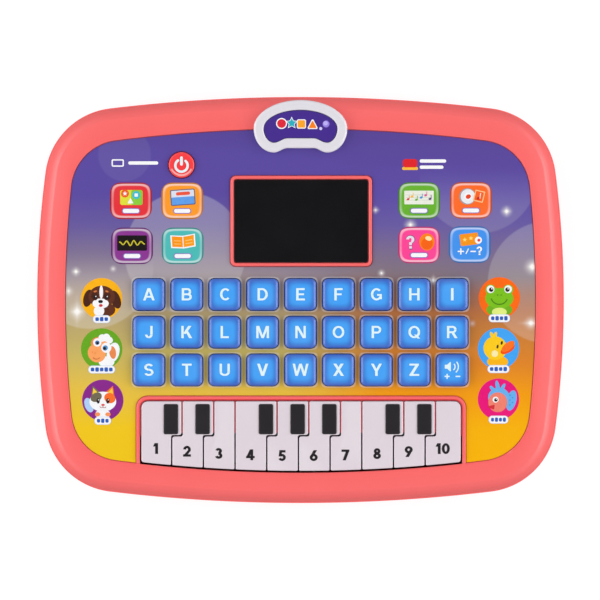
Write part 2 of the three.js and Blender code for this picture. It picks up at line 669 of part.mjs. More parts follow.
/** A stepped seam's edge from the front up to the rear, shifted sideways by dx. */
function seamEdge(i, dx, front, rear) {
  const x = seamX(i) + dx;
  const front0 = new THREE.Vector2(x, front);
  if (i === 0 || i === PIANO_KEYS) {
    const r = PIANO.cornerR - PIANO_KEY_GAP;
    const inward = Math.sign(dx);
    const corner = arc(x + inward * r, rear - r, r, inward > 0 ? Math.PI : 0, Math.PI / 2, 3);
    return [front0, ...corner, new THREE.Vector2(x + inward * r, rear)];
  }
  if (PLAIN_SEAMS.includes(i)) {
    return [front0, new THREE.Vector2(x, rear)];
  }
  const { down, shift, r } = PIANO_STEP;
  const turnY = PIANO_TOP - down - Math.sign(dx) * (PIANO_KEY_GAP / 2);
  return [
    front0,
    new THREE.Vector2(x, turnY - r),
    new THREE.Vector2(x + r, turnY),
    new THREE.Vector2(x + shift - r, turnY),
    new THREE.Vector2(x + shift, turnY + r),
    new THREE.Vector2(x + shift, rear),
  ];
}

/** One piano key: body, rear tongue under the shell, front stop and the black pad that it carries. */
function pianoKey(i) {
  const half = PIANO_KEY_GAP / 2;
  const rear = PIANO_TOP - PIANO_KEY_GAP;
  const leftDx = i === 0 ? PIANO_KEY_GAP : half;
  const last = i === PIANO_KEYS - 1;
  const rightDx = last ? -PIANO_KEY_GAP : -half;
  const foot = (x) => filmFoot(x, FIT) + PIANO_END_GAP;
  const x0 = seamX(i) + leftDx;
  const x1 = seamX(i + 1) + rightDx;
  const leftEdge = seamEdge(i, leftDx, foot(x0), rear).reverse();
  const rightEdge = seamEdge(i + 1, rightDx, foot(x1), rear);
  const outline = [...leftEdge, ...rightEdge];
  const shape = new THREE.Shape(outline);
  const body = new THREE.ExtrudeGeometry(shape, {
    depth: PIANO_KEY_DEPTH - PIANO_EDGE,
    bevelEnabled: true,
    bevelThickness: PIANO_EDGE,
    bevelSize: PIANO_EDGE,
    bevelOffset: -PIANO_EDGE,
    bevelSegments: 1,
  });
  body.translate(0, 0, PIANO_KEY_BOTTOM);
  const low = prism(outline, PIANO_KEY_BOTTOM, PIANO_KEY_TOP - 2 * PIANO_EDGE);
  const middle = (x0 + x1) / 2;
  const rearX = [leftEdge[0].x, rightEdge.at(-1).x];
  const { reach, side } = PIANO_TONGUE;
  const tongue = rect(rearX[0] + side, rear - PIANO_ROOT, rearX[1] - side, rear + reach);
  const stopY = foot(middle) - PIANO_STOP.reach;
  const stopHalf = PIANO_STOP.w / 2;
  const stop = rect(middle - stopHalf, stopY, middle + stopHalf, foot(middle) + PIANO_ROOT);
  const parts = [
    low,
    prism(tongue, FLANGE_TOP - PIANO_TONGUE.thick, FLANGE_TOP),
    prism(stop, FLANGE_TOP - PIANO_STOP.thick, FLANGE_TOP),
  ];
  if (!last && !PLAIN_SEAMS.includes(i + 1)) {
    const padRight = seamX(i + 1) + PIANO_STEP.shift - PAD.inset;
    const padTop = rear - PAD.rearGap;
    const padX = padRight - PAD.w / 2;
    const pad = roundRect(padX, padTop - PAD.h / 2, PAD.w, PAD.h, PAD.r);
    parts.push(prism(pad, PIANO_KEY_TOP - PAD.sunk, PIANO_KEY_TOP + PAD.raise));
  }
  return join(solid(body), ...parts);
}

// ---------------------------------------------------------------- inside

function letterMat() {
  const halfW = KEYS_HALF_W + MAT.out;
  const domes = keyCentres().map(({ x, y }) =>
    prism(circle(x, y, LETTER_DOME.r, 6), MAT_BASE, MAT_TOP + LETTER_DOME.h),
  );
  const sheet = rect(-halfW, KEYS_FOOT - MAT.out, halfW, KEYS_TOP + MAT.out);
  return join(prism(sheet, MAT_BASE, MAT_TOP), ...domes);
}

function pianoMat() {
  const top = PIANO_TOP - PIANO_MAT.top;
  const y = PIANO_TOP - PIANO_DOME.down;
  const domes = Array.from({ length: PIANO_KEYS }, (_, i) => {
    const x = (seamX(i) + seamX(i + 1)) / 2;
    return prism(circle(x, y, PIANO_DOME.r, 6), MAT_BASE, MAT_TOP + PIANO_DOME.h);
  });
  const sheet = rect(PIANO_LEFT - MAT.out, top - PIANO_MAT.h, PIANO_RIGHT + MAT.out, top);
  return join(prism(sheet, MAT_BASE, MAT_TOP), ...domes);
}

function mainBoard() {
  const z = BOARD_Z;
  const [foot, top] = boardEdges();
  const inside = z + MAIN_BOARD.thick / 3;
  const { x, y, r, topR, shoulderR, h, shoulderH, dome } = CHIP;
  const chip = turned(x, y, [
    [0, z - h],
    [topR, z - h + dome],
    [shoulderR, z - shoulderH],
    [r, inside],
    [0, inside],
  ]);
  const capacitors = CAPACITOR.x.map((cx) =>
    post(cx, CAPACITOR.y, CAPACITOR.r, z - CAPACITOR.h, inside, 10),
  );
  return join(prism(rect(-BOARD_HALF_W, foot, BOARD_HALF_W, top), z, BOARD_TOP), chip, ...capacitors);
}

/** The display on its board, with the power switch on the same board. */
function displayModule() {
  const { thick, round, rightExtra, sideOfPower, overPower } = DISPLAY_BOARD;
  const { x, y, w, h, r } = SCREEN;
  const clear = 2 * (SCREEN_LEDGE.w + GLASS_CLEAR);
  const boardTop = DISPLAY_Z + thick;
  const left = POWER.x - sideOfPower;
  const right = x + w / 2 + rightExtra;
  return join(
    prism(rect(left, y - h / 2 - round, right, POWER.y + overPower), DISPLAY_Z, boardTop),
    prism(roundRect(x, y, w - clear, h - clear, r), DISPLAY_Z, LEDGE_Z),
    post(POWER.x, POWER.y, POWER_SWITCH.r, DISPLAY_Z, boardTop + POWER_SWITCH.h, 8),
  );
}

function speaker() {
  const { x, y, r, rimH, coneR, magnetR, height } = SPEAKER;
  const { capR, capZ, tipZ, edge, edgeZ, roll, magnetH } = SPEAKER_CONE;
  const base = SKIN + GAP;
  const profile = [
    [0, base + tipZ],
    [capR, base + capZ],
    [r - edge, base + edgeZ],
    [r - roll, base],
    [r, base],
    [r, base + rimH],
    [coneR, base + height - magnetH],
    [magnetR, base + height - magnetH],
    [magnetR, base + height],
    [0, base + height],
  ];
  return turned(x, y, profile, 16);
}

/** The door: a plate with a slanted rear edge, two hooks and the screw's boss. */
function batteryDoor() {
  const x = BAY.x;
  const { z, r, slant } = DOOR;
  const middle = (DOOR_FOOT + DOOR_HEAD) / 2;
  const face = roundRect(x, middle, 2 * DOOR_HALF_W, DOOR_HEAD - DOOR_FOOT, r);
  const slanted = face.map((p) => new THREE.Vector2(p.x, p.y < middle ? p.y + slant : p.y));
  const plate = loft([{ points: slanted, z }, { points: face, z: DOOR_INNER }]);
  const overlap = DOOR.thick / 2;
  const hooks = [-1, 1].flatMap((side) => {
    const hx0 = x + side * (DOOR_HALF_W - HOOK.in) - HOOK.w / 2;
    const hx1 = hx0 + HOOK.w;
    const root = DOOR_FOOT + HOOK.root;
    const hookTop = DOOR_INNER + HOOK.rise;
    return [
      prism(rect(hx0, DOOR_FOOT + slant, hx1, root), DOOR_INNER - overlap, hookTop),
      prism(rect(hx0, DOOR_FOOT - FIT - HOOK.reach, hx1, root), hookTop - HOOK.thick, hookTop),
    ];
  });
  const bossTop = DOOR_INNER + DOOR_BOSS.h;
  return cut(
    join(plate, ...hooks, post(x, DOOR_BOSS_Y, DOOR_BOSS.r, z + 0.5, bossTop, 16)),
    post(x, DOOR_BOSS_Y, DOOR_SCREW.headR + FIT, z - 1, DOOR_INNER),
    post(x, DOOR_BOSS_Y, DOOR_SCREW.shankR + FIT, z - 1, bossTop + 1),
  );
}

/** A pan-head screw, head down. */
function screw(x, y, headR, headH, shankR, seatZ, top) {
  const headBase = seatZ - GAP - headH;
  const profile = [
    [0, headBase],
    [headR - SCREW_EDGE.in, headBase],
    [headR, headBase + SCREW_EDGE.h],
    [headR, seatZ - GAP],
    [shankR, seatZ - GAP],
    [shankR, top - SCREW_EDGE.tip],
    [0, top],
  ];
  return turned(x, y, profile, 8);
}

function cellPlaces() {
  const pitch = (2 * BAY_HALF_H) / CELL.count;
  return Array.from({ length: CELL.count }, (_, i) => BAY.y + (i - (CELL.count - 1) / 2) * pitch);
}

/** A cell lying along X: plus nub at the right end, or at the left end when flipped. */
function cell(y, flipped) {
  const { r, length, nubR, nubH } = CELL;
  const half = length / 2;
  const profile = [
    [0, -half],
    [r - CELL_EDGE, -half],
    [r, -half + CELL_EDGE],
    [r, half - nubH - CELL_EDGE],
    [r - CELL_EDGE, half - nubH],
    [nubR, half - nubH],
    [nubR, half],
    [0, half],
  ].map(([radius, z]) => new THREE.Vector2(radius, z));
  const geometry = new THREE.LatheGeometry(profile, 10);
  geometry.rotateX(Math.PI / 2);
  geometry.rotateY(flipped ? -Math.PI / 2 : Math.PI / 2);
  geometry.translate(BAY.x, y, CELL_Z);
  return solid(geometry);
}

/** The plate at one end of the bay, with a spring cone for each cell's flat end. */
function contact(side) {
  const { thick, springR, springTipR, halfH, sunk } = CONTACT;
  const wallX = BAY_HALF_W - GAP;
  const spring = BAY.clearEnd - 2 * GAP - thick + sunk;
  const x0 = side * wallX;
  const x1 = side * (wallX - thick);
  const places = cellPlaces();
  const low = places[0] - halfH;
  const high = places.at(-1) + halfH;
  const face = rect(Math.min(x0, x1), low, Math.max(x0, x1), high);
  const plate = prism(face, CELL_Z - halfH, CELL_Z + halfH);
  const sprung = places.filter((_, i) => (i % 2 === 0) === side < 0);
  const cones = sprung.map((y) => {
    const geometry = new THREE.CylinderGeometry(springTipR, springR, spring, 10);
    geometry.rotateZ((side * Math.PI) / 2);
    geometry.translate(side * (wallX - thick + sunk - spring / 2), y, CELL_Z);
    return solid(geometry);
  });
  return join(plate, ...cones);
}

// ---------------------------------------------------------------- assembly

const tablet = new THREE.Group();
tablet.name = "kids_toy_tablet";

tablet.add(
  mesh("front_shell", frontShell(), COLOURS.coral, 0.35),
  mesh("back_shell", backShell(), COLOURS.coral, 0.4),
  mesh("graphic_overlay", overlay(), COLOURS.film, 0.3),
  mesh("screen_window", screenWindow(), COLOURS.dark, 0.08),
  mesh("badge_frame", badgeFrame(), COLOURS.white, 0.25),
  mesh("badge_insert", badgeInsert(), COLOURS.purple, 0.3),
  mesh("power_button", powerButton(), COLOURS.red, 0.25),
);

for (const { name, x, y } of keyCentres()) {
  tablet.add(mesh(`key_${name}`, letterKey(x, y), COLOURS.blue, 0.2));
}

for (let i = 0; i < PIANO_KEYS; i++) {
  tablet.add(mesh(`piano_key_${i + 1}`, pianoKey(i), COLOURS.ivory, 0.35));
}

tablet.add(
  mesh("letter_key_mat", letterMat(), COLOURS.rubber, 0.8),
  mesh("piano_key_mat", pianoMat(), COLOURS.rubber, 0.8),
  mesh("main_board", mainBoard(), COLOURS.board, 0.5),
  mesh("display_module", displayModule(), COLOURS.board, 0.4),
  mesh("speaker", speaker(), COLOURS.magnet, 0.6),
  mesh("battery_door", batteryDoor(), COLOURS.coral, 0.4),
);

cellPlaces().forEach((y, i) => {
  tablet.add(mesh(`battery_cell_${i + 1}`, cell(y, i % 2 === 1), COLOURS.cell, 0.35, 0.4));
});
tablet.add(
  mesh("battery_contact_left", contact(-1), COLOURS.steel, 0.3, 1),
  mesh("battery_contact_right", contact(1), COLOURS.steel, 0.3, 1),
);

{
  const { headR, headH, shankR } = DOOR_SCREW;
  const body = screw(BAY.x, DOOR_BOSS_Y, headR, headH, shankR, DOOR_INNER, DOOR_SCREW_TOP);
  tablet.add(mesh("battery_door_screw", body, COLOURS.steel, 0.35, 1));
}

bossPlaces().forEach(([x, y], i) => {
  const { headR, headH, shankR, seatZ, top } = CASE_SCREW;
  const body = screw(x, y, headR, headH, shankR, seatZ, top);
  tablet.add(mesh(`case_screw_${i + 1}`, body, COLOURS.steel, 0.35, 1));
});

export default tablet;
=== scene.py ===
"""Kids toy tablet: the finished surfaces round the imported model.

Lengths in this script are millimetres in the model's frame (+Z out of the key side, +Y towards the
badge); make_piece turns them into metres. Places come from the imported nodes' own boxes.
"""

from __future__ import annotations

import json
import logging
import math
from dataclasses import dataclass, field
from enum import Enum
from typing import Callable, ClassVar, Iterable, Sequence

import bmesh
import bpy
import numpy as np
from mathutils.geometry import tessellate_polygon
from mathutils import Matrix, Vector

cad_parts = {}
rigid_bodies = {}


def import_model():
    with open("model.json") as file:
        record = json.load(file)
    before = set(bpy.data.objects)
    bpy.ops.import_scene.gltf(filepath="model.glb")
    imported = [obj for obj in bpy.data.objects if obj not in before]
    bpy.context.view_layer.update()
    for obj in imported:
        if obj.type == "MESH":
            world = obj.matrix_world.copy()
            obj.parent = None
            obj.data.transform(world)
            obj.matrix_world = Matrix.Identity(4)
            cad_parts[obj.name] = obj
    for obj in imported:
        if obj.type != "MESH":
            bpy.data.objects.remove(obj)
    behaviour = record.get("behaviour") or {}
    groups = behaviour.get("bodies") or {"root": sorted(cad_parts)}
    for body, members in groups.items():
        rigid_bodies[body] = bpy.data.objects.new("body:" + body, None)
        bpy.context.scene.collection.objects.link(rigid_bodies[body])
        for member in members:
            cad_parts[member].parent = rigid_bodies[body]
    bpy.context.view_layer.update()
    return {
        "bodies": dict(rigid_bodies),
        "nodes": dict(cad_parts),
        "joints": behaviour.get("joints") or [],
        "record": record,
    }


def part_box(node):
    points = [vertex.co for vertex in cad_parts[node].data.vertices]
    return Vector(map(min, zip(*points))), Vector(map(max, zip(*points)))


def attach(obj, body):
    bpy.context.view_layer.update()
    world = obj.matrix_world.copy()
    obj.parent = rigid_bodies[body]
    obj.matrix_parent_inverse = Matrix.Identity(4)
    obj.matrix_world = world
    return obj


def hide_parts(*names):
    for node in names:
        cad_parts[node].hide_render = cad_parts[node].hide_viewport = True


LOG = logging.getLogger("toy_tablet")
MM = 0.001
SMOOTH_BELOW_DEG = 32.0
WELD_WITHIN_M = 1e-6
TINY = 1e-9

Array = np.ndarray
Rgb = tuple[float, float, float]
Socket = bpy.types.NodeSocket


class Body(Enum):
    """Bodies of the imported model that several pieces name."""

    CASING = "casing"
    POWER = "power_button"


class Slot(Enum):
    """Material slots of the record."""

    CORAL = "coral_plastic"
    FILM = "printed_film"
    SCREEN = "screen"
    WHITE = "white_plastic"
    PURPLE = "purple_plastic"
    BLUE = "blue_plastic"
    IVORY = "ivory_plastic"
    RED = "red_plastic"


# --- colour


def linear(red: int, green: int, blue: int) -> Rgb:
    """A display colour of 0 to 255 as scene-linear values, by the sRGB curve.

    Args:
        red, green, blue: levels of 0 to 255.

    Returns:
        Red, green and blue.
    """
    values = np.array([red, green, blue]) / 255.0
    low = values / 12.92
    high = ((values + 0.055) / 1.055) ** 2.4
    return tuple(float(v) for v in np.where(values <= 0.04045, low, high))


# --- plane curves


def arc(cx: float, cy: float, r: float, start: float, end: float, steps: int) -> Array:
    """Points (cx + r cos t, cy + r sin t) for t from start to end, without the last.

    Args:
        cx, cy: centre.
        r: radius.
        start, end: angles in radians.
        steps: number of points.

    Returns:
        An array of steps rows.
    """
    t = np.linspace(start, end, steps, endpoint=False)
    return np.column_stack([cx + r * np.cos(t), cy + r * np.sin(t)])


def circle(cx: float, cy: float, r: float, steps: int = 48) -> Array:
    """A full circle, counter-clockwise."""
    return arc(cx, cy, r, 0.0, 2 * math.pi, steps)


def ellipse(
    cx: float, cy: float, rx: float, ry: float, turn: float = 0.0, steps: int = 40
) -> Array:
    """An ellipse whose first half-axis is turned by the given degrees, counter-clockwise."""
    unit = circle(0, 0, 1, steps) * [rx, ry]
    return turned(unit, turn) + [cx, cy]


def turned(points: Array, degrees: float) -> Array:
    """Points turned counter-clockwise about the origin."""
    c, s = math.cos(math.radians(degrees)), math.sin(math.radians(degrees))
    return points @ np.array([[c, s], [-s, c]])


def round_rect(cx: float, cy: float, w: float, h: float, r: float, steps: int = 8) -> Array:
    """A rectangle with quarter-circle corners, counter-clockwise from the right side.

    Args:
        cx, cy: centre.
        w, h: width and height.
        r: corner radius.
        steps: points of each corner but its last.

    Returns:
        The outline's points.
    """
    x, y, q = w / 2 - r, h / 2 - r, math.pi / 2
    corners = [(x, y), (-x, y), (-x, -y), (x, -y)]
    arcs = [
        np.vstack([arc(dx, dy, r, i * q, (i + 1) * q, steps), arc(dx, dy, r, (i + 1) * q, 9, 1)])
        for i, (dx, dy) in enumerate(corners)
    ]
    return np.vstack(arcs) + [cx, cy]


def filleted(
    points: Sequence[tuple[float, float]], radii: Sequence[float], steps: int = 5
) -> Array:
    """A closed polygon with each corner replaced by an arc tangent to its two sides.

    The arc of radius r meets each side r / tan(half the corner's angle) from the corner.

    Args:
        points: corners, counter-clockwise.
        radii: one radius per corner; 0 keeps it sharp.
        steps: segments of each arc.

    Returns:
        The outline's points.
    """
    corners = np.array(points, float)
    out = []
    for i, (p, r) in enumerate(zip(corners, radii)):
        to_last = corners[i - 1] - p
        to_next = corners[(i + 1) % len(corners)] - p
        a = to_last / np.linalg.norm(to_last)
        b = to_next / np.linalg.norm(to_next)
        half = math.acos(float(np.clip(a @ b, -1, 1))) / 2
        if r <= 0 or half > math.pi / 2 - 1e-3:
            out.append(p[None])
            continue
        reach = r / math.tan(half)
        bisector = (a + b) / np.linalg.norm(a + b)
        centre = p + bisector * r / math.sin(half)
        first, last = p + a * reach - centre, p + b * reach - centre
        t0, t1 = math.atan2(first[1], first[0]), math.atan2(last[1], last[0])
        sweep = (t1 - t0 + math.pi) % (2 * math.pi) - math.pi
        t = t0 + sweep * np.linspace(0, 1, steps + 1)
        out.append(centre + r * np.column_stack([np.cos(t), np.sin(t)]))
    return np.vstack(out)


def stroke(points: Sequence[tuple[float, float]] | Array, width: float, cap: int = 8) -> Array:
    """The outline of a line with round ends: offsets to each side, joined by arcs.

    Args:
        points: the line's points.
        width: its width.
        cap: points of each round end.

    Returns:
        The outline, counter-clockwise.
    """
    line = np.asarray(points, float)
    tangent = np.gradient(line, axis=0)
    tangent /= np.linalg.norm(tangent, axis=1, keepdims=True)
    normal = np.column_stack([-tangent[:, 1], tangent[:, 0]])
    r = width / 2
    end = math.atan2(tangent[-1, 1], tangent[-1, 0])
    start = math.atan2(tangent[0, 1], tangent[0, 0])
    tip = arc(*line[-1], r, end - math.pi / 2, end + math.pi / 2, cap)[1:]
    tail = arc(*line[0], r, start + math.pi / 2, start + 3 * math.pi / 2, cap)[1:]
    return np.vstack([line - r * normal, tip, (line + r * normal)[::-1], tail])


def star(cx: float, cy: float, r: float, points: int, waist: float, turn: float = 90) -> Array:
    """A star whose tips are at radius r and whose hollows are at waist times r.

    Args:
        cx, cy: centre.
        r: radius of the tips.
        points: number of tips.
        waist: radius of the hollows as a share of r.
        turn: direction of the first tip, in degrees.

    Returns:
        The outline, counter-clockwise.
    """
    radius = np.where(np.arange(2 * points) % 2 == 0, r, waist * r)
    t = math.radians(turn) + np.arange(2 * points) * math.pi / points
    return np.column_stack([cx + radius * np.cos(t), cy + radius * np.sin(t)])


def outward_normals(outline: Array) -> Array:
    """Normals of a counter-clockwise outline, each the mean of its two sides' normals.

    Each is lengthened so that an offset along it keeps both sides parallel.

    Args:
        outline: the outline's points.

    Returns:
        One normal per point.
    """
    after = np.roll(outline, -1, 0) - outline
    after /= np.maximum(np.linalg.norm(after, axis=1, keepdims=True), TINY)
    before = np.roll(after, 1, 0)
    mean = after + before
    mean /= np.maximum(np.linalg.norm(mean, axis=1, keepdims=True), TINY)
    stretch = 1 / np.maximum(np.sum(mean * after, axis=1, keepdims=True), 0.5)
    return np.column_stack([mean[:, 1], -mean[:, 0]]) * stretch


def moved_in(outline: Array, inset: float) -> Array:
    """A counter-clockwise outline moved in along its normals."""
    return outline - inset * outward_normals(outline)


# --- solids


@dataclass
class Form:
    """Vertices in millimetres, faces as index tuples, and UV by vertex if the form has it."""

    verts: Array
    faces: list[tuple[int, ...]]
    uv: Array | None = None
    ink: Array | None = None


def joined(forms: Iterable[Form]) -> Form:
    """Several forms as one, their indices moved on.

    Args:
        forms: the forms to put together.

    Returns:
        The form that holds them all.
    """
    forms = list(forms)
    faces, start = [], 0
    for form in forms:
        faces += [tuple(i + start for i in face) for face in form.faces]
        start += len(form.verts)
    made = Form(np.vstack([f.verts for f in forms]), faces)
    if all(f.uv is not None for f in forms):
        made.uv = np.vstack([f.uv for f in forms])
    if all(f.ink is not None for f in forms):
        made.ink = np.vstack([f.ink for f in forms])
    return made


def at_height(outline: Array, z: float | Array) -> Array:
    """Plane points lifted to a height."""
    return np.column_stack([outline, np.broadcast_to(z, len(outline))])


def grid_faces(rows: int, columns: int, closed_rows: bool = False) -> Array:
    """Quads of a grid whose columns close on themselves, rows running in the outer direction.

    Args:
        rows, columns: the grid's size.
        closed_rows: whether the last row meets the first.

    Returns:
        Four indices per quad.
    """
    k = np.arange(rows if closed_rows else rows - 1)[:, None]
    i = np.arange(columns)[None]
    k_next = (k + 1) % rows
    i_next = (i + 1) % columns
    quads = [k * columns + i, k * columns + i_next, k_next * columns + i_next, k_next * columns + i]
    return np.stack(np.broadcast_arrays(*quads), -1).reshape(-1, 4)


def loft(rings: Sequence[Array], capped: bool = True) -> Form:
    """A body swept through closed rings of equal count.

    Vertex (k, i) is point i of ring k. Counter-clockwise rings that run from inside the foot,
    round the wall and up to the top make a body that faces out.

    Args:
        rings: arrays of (x, y, z) rows.
        capped: the first and last rings are filled; otherwise the last ring joins the first.

    Returns:
        The closed form.
    """
    count = len(rings[0])
    faces = [tuple(q) for q in grid_faces(len(rings), count, closed_rows=not capped).tolist()]
    if capped:
        last = (len(rings) - 1) * count
        faces.append(tuple(range(count - 1, -1, -1)))
        faces.append(tuple(range(last, last + count)))
    return Form(np.vstack(rings), faces)


def plate(outline: Array, holes: Sequence[Array], z0: float, z1: float, rim: bool = True) -> Form:
    """A flat plate with holes: both faces are triangulated, and walls join them.

    Args:
        outline: outer edge, counter-clockwise.
        holes: inner edges, counter-clockwise.
        z0, z1: heights of the two faces.
        rim: whether the outer edge gets its wall.

    Returns:
        The form, closed if it has its rim.
    """
    loops = [outline, *holes]
    flat = np.vstack(loops)
    count = len(flat)
    lines = [[(float(x), float(y), 0.0) for x, y in loop] for loop in loops]
    top = np.array(tessellate_polygon(lines))
    a, b, c = flat[top[:, 0]], flat[top[:, 1]], flat[top[:, 2]]
    area = (b[:, 0] - a[:, 0]) * (c[:, 1] - a[:, 1]) - (b[:, 1] - a[:, 1]) * (c[:, 0] - a[:, 0])
    top[area < 0] = top[area < 0][:, ::-1]
    top = top[np.abs(area) > TINY]
    faces = [tuple(t) for t in (top + count).tolist()] + [tuple(t) for t in top[:, ::-1].tolist()]
    start = 0
    for n, loop in enumerate(loops):
        i = np.arange(len(loop))
        j = (i + 1) % len(loop)
        wall = np.column_stack([i, j, j + count, i + count]) + start
        if n:
            wall = wall[:, ::-1]
        if n or rim:
            faces += [tuple(q) for q in wall.tolist()]
        start += len(loop)
    return Form(np.vstack([at_height(flat, z0), at_height(flat, z1)]), faces)


def cushion(
    outline: Array, z0: float, z1: float, edge: float, crown: float = 0.0, rows: int = 7
) -> Form:
    """A pad with a rounded top edge and a crowned top.

    The wall rises to z1 - crown - edge, a quarter circle of radius edge leads in, and the top
    climbs by crown: height z1 - crown * s squared on the outline shrunk by s about its middle.

    Args:
        outline: counter-clockwise edge.
        z0, z1: foot and highest point.
        edge: radius of the top edge.
        crown: rise of the middle above the edge.
        rows: rings over the crown.

    Returns:
        The closed form.
    """
    shoulder = z1 - crown
    turns = np.linspace(0, math.pi / 2, 6)
    rings = [at_height(outline, z0)]
    for t in turns:
        inner = moved_in(outline, edge * (1 - math.cos(t)))
        rings.append(at_height(inner, shoulder - edge + edge * math.sin(t)))
    if crown > 0:
        inner = moved_in(outline, edge)
        middle = (inner.min(0) + inner.max(0)) / 2
        for s in np.linspace(1, 0.06, rows)[1:]:
            rings.append(at_height(middle + (inner - middle) * s, z1 - crown * s**2))
    return loft(rings)


def revolve(cx: float, cy: float, profile: Sequence[tuple[float, float]], steps: int = 64) -> Form:
    """A body turned about a vertical axis; profile holds (radius, z) from the foot up."""
    rings = [at_height(circle(cx, cy, max(r, 1e-3), steps), z) for r, z in profile]
    return loft(rings)


def rounded_section(width: float, edge: float) -> list[tuple[float, float | None]]:
    """The section of a bar with two round top corners, from its left foot to its right.

    Each corner is a quarter circle: edge (1 - cos t) in from the side, edge (1 - sin t) down.

    Args:
        width: the bar's width.
        edge: radius of the corners.

    Returns:
        Offset from the centre line and drop from the top of each point; no drop marks the foot.
    """
    half = width / 2
    turns = np.linspace(0, math.pi / 2, 5)
    corner = [(half - edge * (1 - math.cos(t)), edge * (math.sin(t) - 1)) for t in turns]
    left = [(-half, None), *[(-out, dz) for out, dz in corner]]
    return [*left, *corner[::-1], (half, None)]


def rib(centre: Array, width: float, z0: float, z1: float | Array, edge: float) -> Form:
    """A ring-shaped rib that follows a closed centre line, with a rounded top.

    Its section is a bar from z0 up to z1 whose two top corners are quarter circles.

    Args:
        centre: the centre line, counter-clockwise.
        width: the rib's width.
        z0, z1: heights of its foot and its top.
        edge: radius of its top corners.

    Returns:
        The closed form.
    """
    normal = outward_normals(centre)
    section = rounded_section(width, edge)
    rings = [
        at_height(centre - normal * out, z0 if dz is None else z1 + dz)
        for out, dz in section
    ]
    return loft(rings, capped=False)


def bar(line: Array, width: float, z0: float, z1: float | Array, edge: float) -> Form:
    """A rib along an open line, closed at both ends; z1 is its height at each point.

    Args:
        line: the centre line.
        width: the bar's width.
        z0, z1: heights of its foot and its top.
        edge: radius of its top corners.

    Returns:
        The closed form.
    """
    tangent = np.gradient(line, axis=0)
    tangent /= np.linalg.norm(tangent, axis=1, keepdims=True)
    normal = np.column_stack([tangent[:, 1], -tangent[:, 0]])
    columns = [
        at_height(line + normal * out, z0 if dz is None else z1 + dz)
        for out, dz in rounded_section(width, edge)
    ]
    return loft(list(np.stack(columns, 1)))


# --- pieces


def make_piece(
    name: str,
    form: Form,
    material: bpy.types.Material,
    body: str,
    replaces: Sequence[str] = (),
    weld: bool = False,
) -> bpy.types.Object:
    """Puts a form into the scene as a piece that rides on a body.

    Args:
        name: the piece's name.
        form: its shape, in millimetres.
        material: its finish.
        body: name of the body that carries it.
        replaces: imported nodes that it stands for.
        weld: whether vertices at one place become one.

    Returns:
        The new object.
    """
    mesh = bpy.data.meshes.new(name)
    mesh.from_pydata((form.verts * MM).tolist(), [], form.faces)
    if form.uv is not None:
        layer = mesh.uv_layers.new(name="face")
        loops = np.empty(len(mesh.loops), np.int32)
        mesh.loops.foreach_get("vertex_index", loops)
        layer.data.foreach_set("uv", form.uv[loops].astype(np.float32).ravel())
    if form.ink is not None:
        layer = mesh.color_attributes.new("ink", "FLOAT_COLOR", "POINT")
        rgba = np.column_stack([form.ink, np.ones(len(form.ink))])
        layer.data.foreach_set("color", rgba.astype(np.float32).ravel())
    mesh.materials.append(material)
    obj = bpy.data.objects.new(name, mesh)
    bpy.context.scene.collection.objects.link(obj)
    if weld:
        merge_doubles(mesh)
    mesh.polygons.foreach_set("use_smooth", np.ones(len(mesh.polygons), bool))
    mesh.set_sharp_from_angle(angle=math.radians(SMOOTH_BELOW_DEG))
    mesh.update()
    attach(obj, body)
    if replaces:
        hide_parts(*replaces)
    LOG.info("piece %s: %d faces on %s", name, len(mesh.polygons), body)
    return obj


def merge_doubles(mesh: bpy.types.Mesh) -> None:
    """Joins vertices that lie within a thousandth of a millimetre of each other.

    Args:
        mesh: the mesh to weld.
    """
    work = bmesh.new()
    work.from_mesh(mesh)
    bmesh.ops.remove_doubles(work, verts=work.verts, dist=WELD_WITHIN_M)
    work.to_mesh(mesh)
    work.free()


def node_box(node: str) -> tuple[Array, Array]:
    """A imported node's lowest and highest corner, in millimetres."""
    low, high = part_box(node)
    return np.array(low) / MM, np.array(high) / MM


def node_middle(node: str) -> Array:
    """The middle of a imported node's box, in millimetres."""
    low, high = node_box(node)
    return (low + high) / 2


# --- finishes


class Nodes:
    """A node tree with short calls to add and link nodes."""

    def __init__(self, tree: bpy.types.NodeTree) -> None:
        """Empties the tree."""
        self.tree = tree
        self.tree.nodes.clear()

    def link(self, source: Socket, target: Socket) -> None:
        """Joins two sockets."""
        self.tree.links.new(source, target)

    def node(self, kind: str, **values: object) -> bpy.types.Node:
        """Adds a node and sets its properties.

        Args:
            kind: the node's type.
            values: properties to set on it.

        Returns:
            The new node.
        """
        made = self.tree.nodes.new(kind)
        for key, value in values.items():
            setattr(made, key, value)
        return made

    def math(self, operation: str, *terms: object, clamp: bool = False) -> Socket:
        """A Math node over numbers and sockets.

        Args:
            operation: the node's operation.
            terms: up to three numbers or sockets.
            clamp: whether the result stays in 0 to 1.

        Returns:
            Its output.
        """
        made = self.node("ShaderNodeMath", operation=operation, use_clamp=clamp)
        for socket, term in zip(made.inputs, terms):
            self.feed(term, socket)
        return made.outputs[0]

    def feed(self, term: object, socket: Socket) -> None:
        """Links a socket, or sets a plain value."""
        if isinstance(term, Socket):
            self.link(term, socket)
        else:
            socket.default_value = term


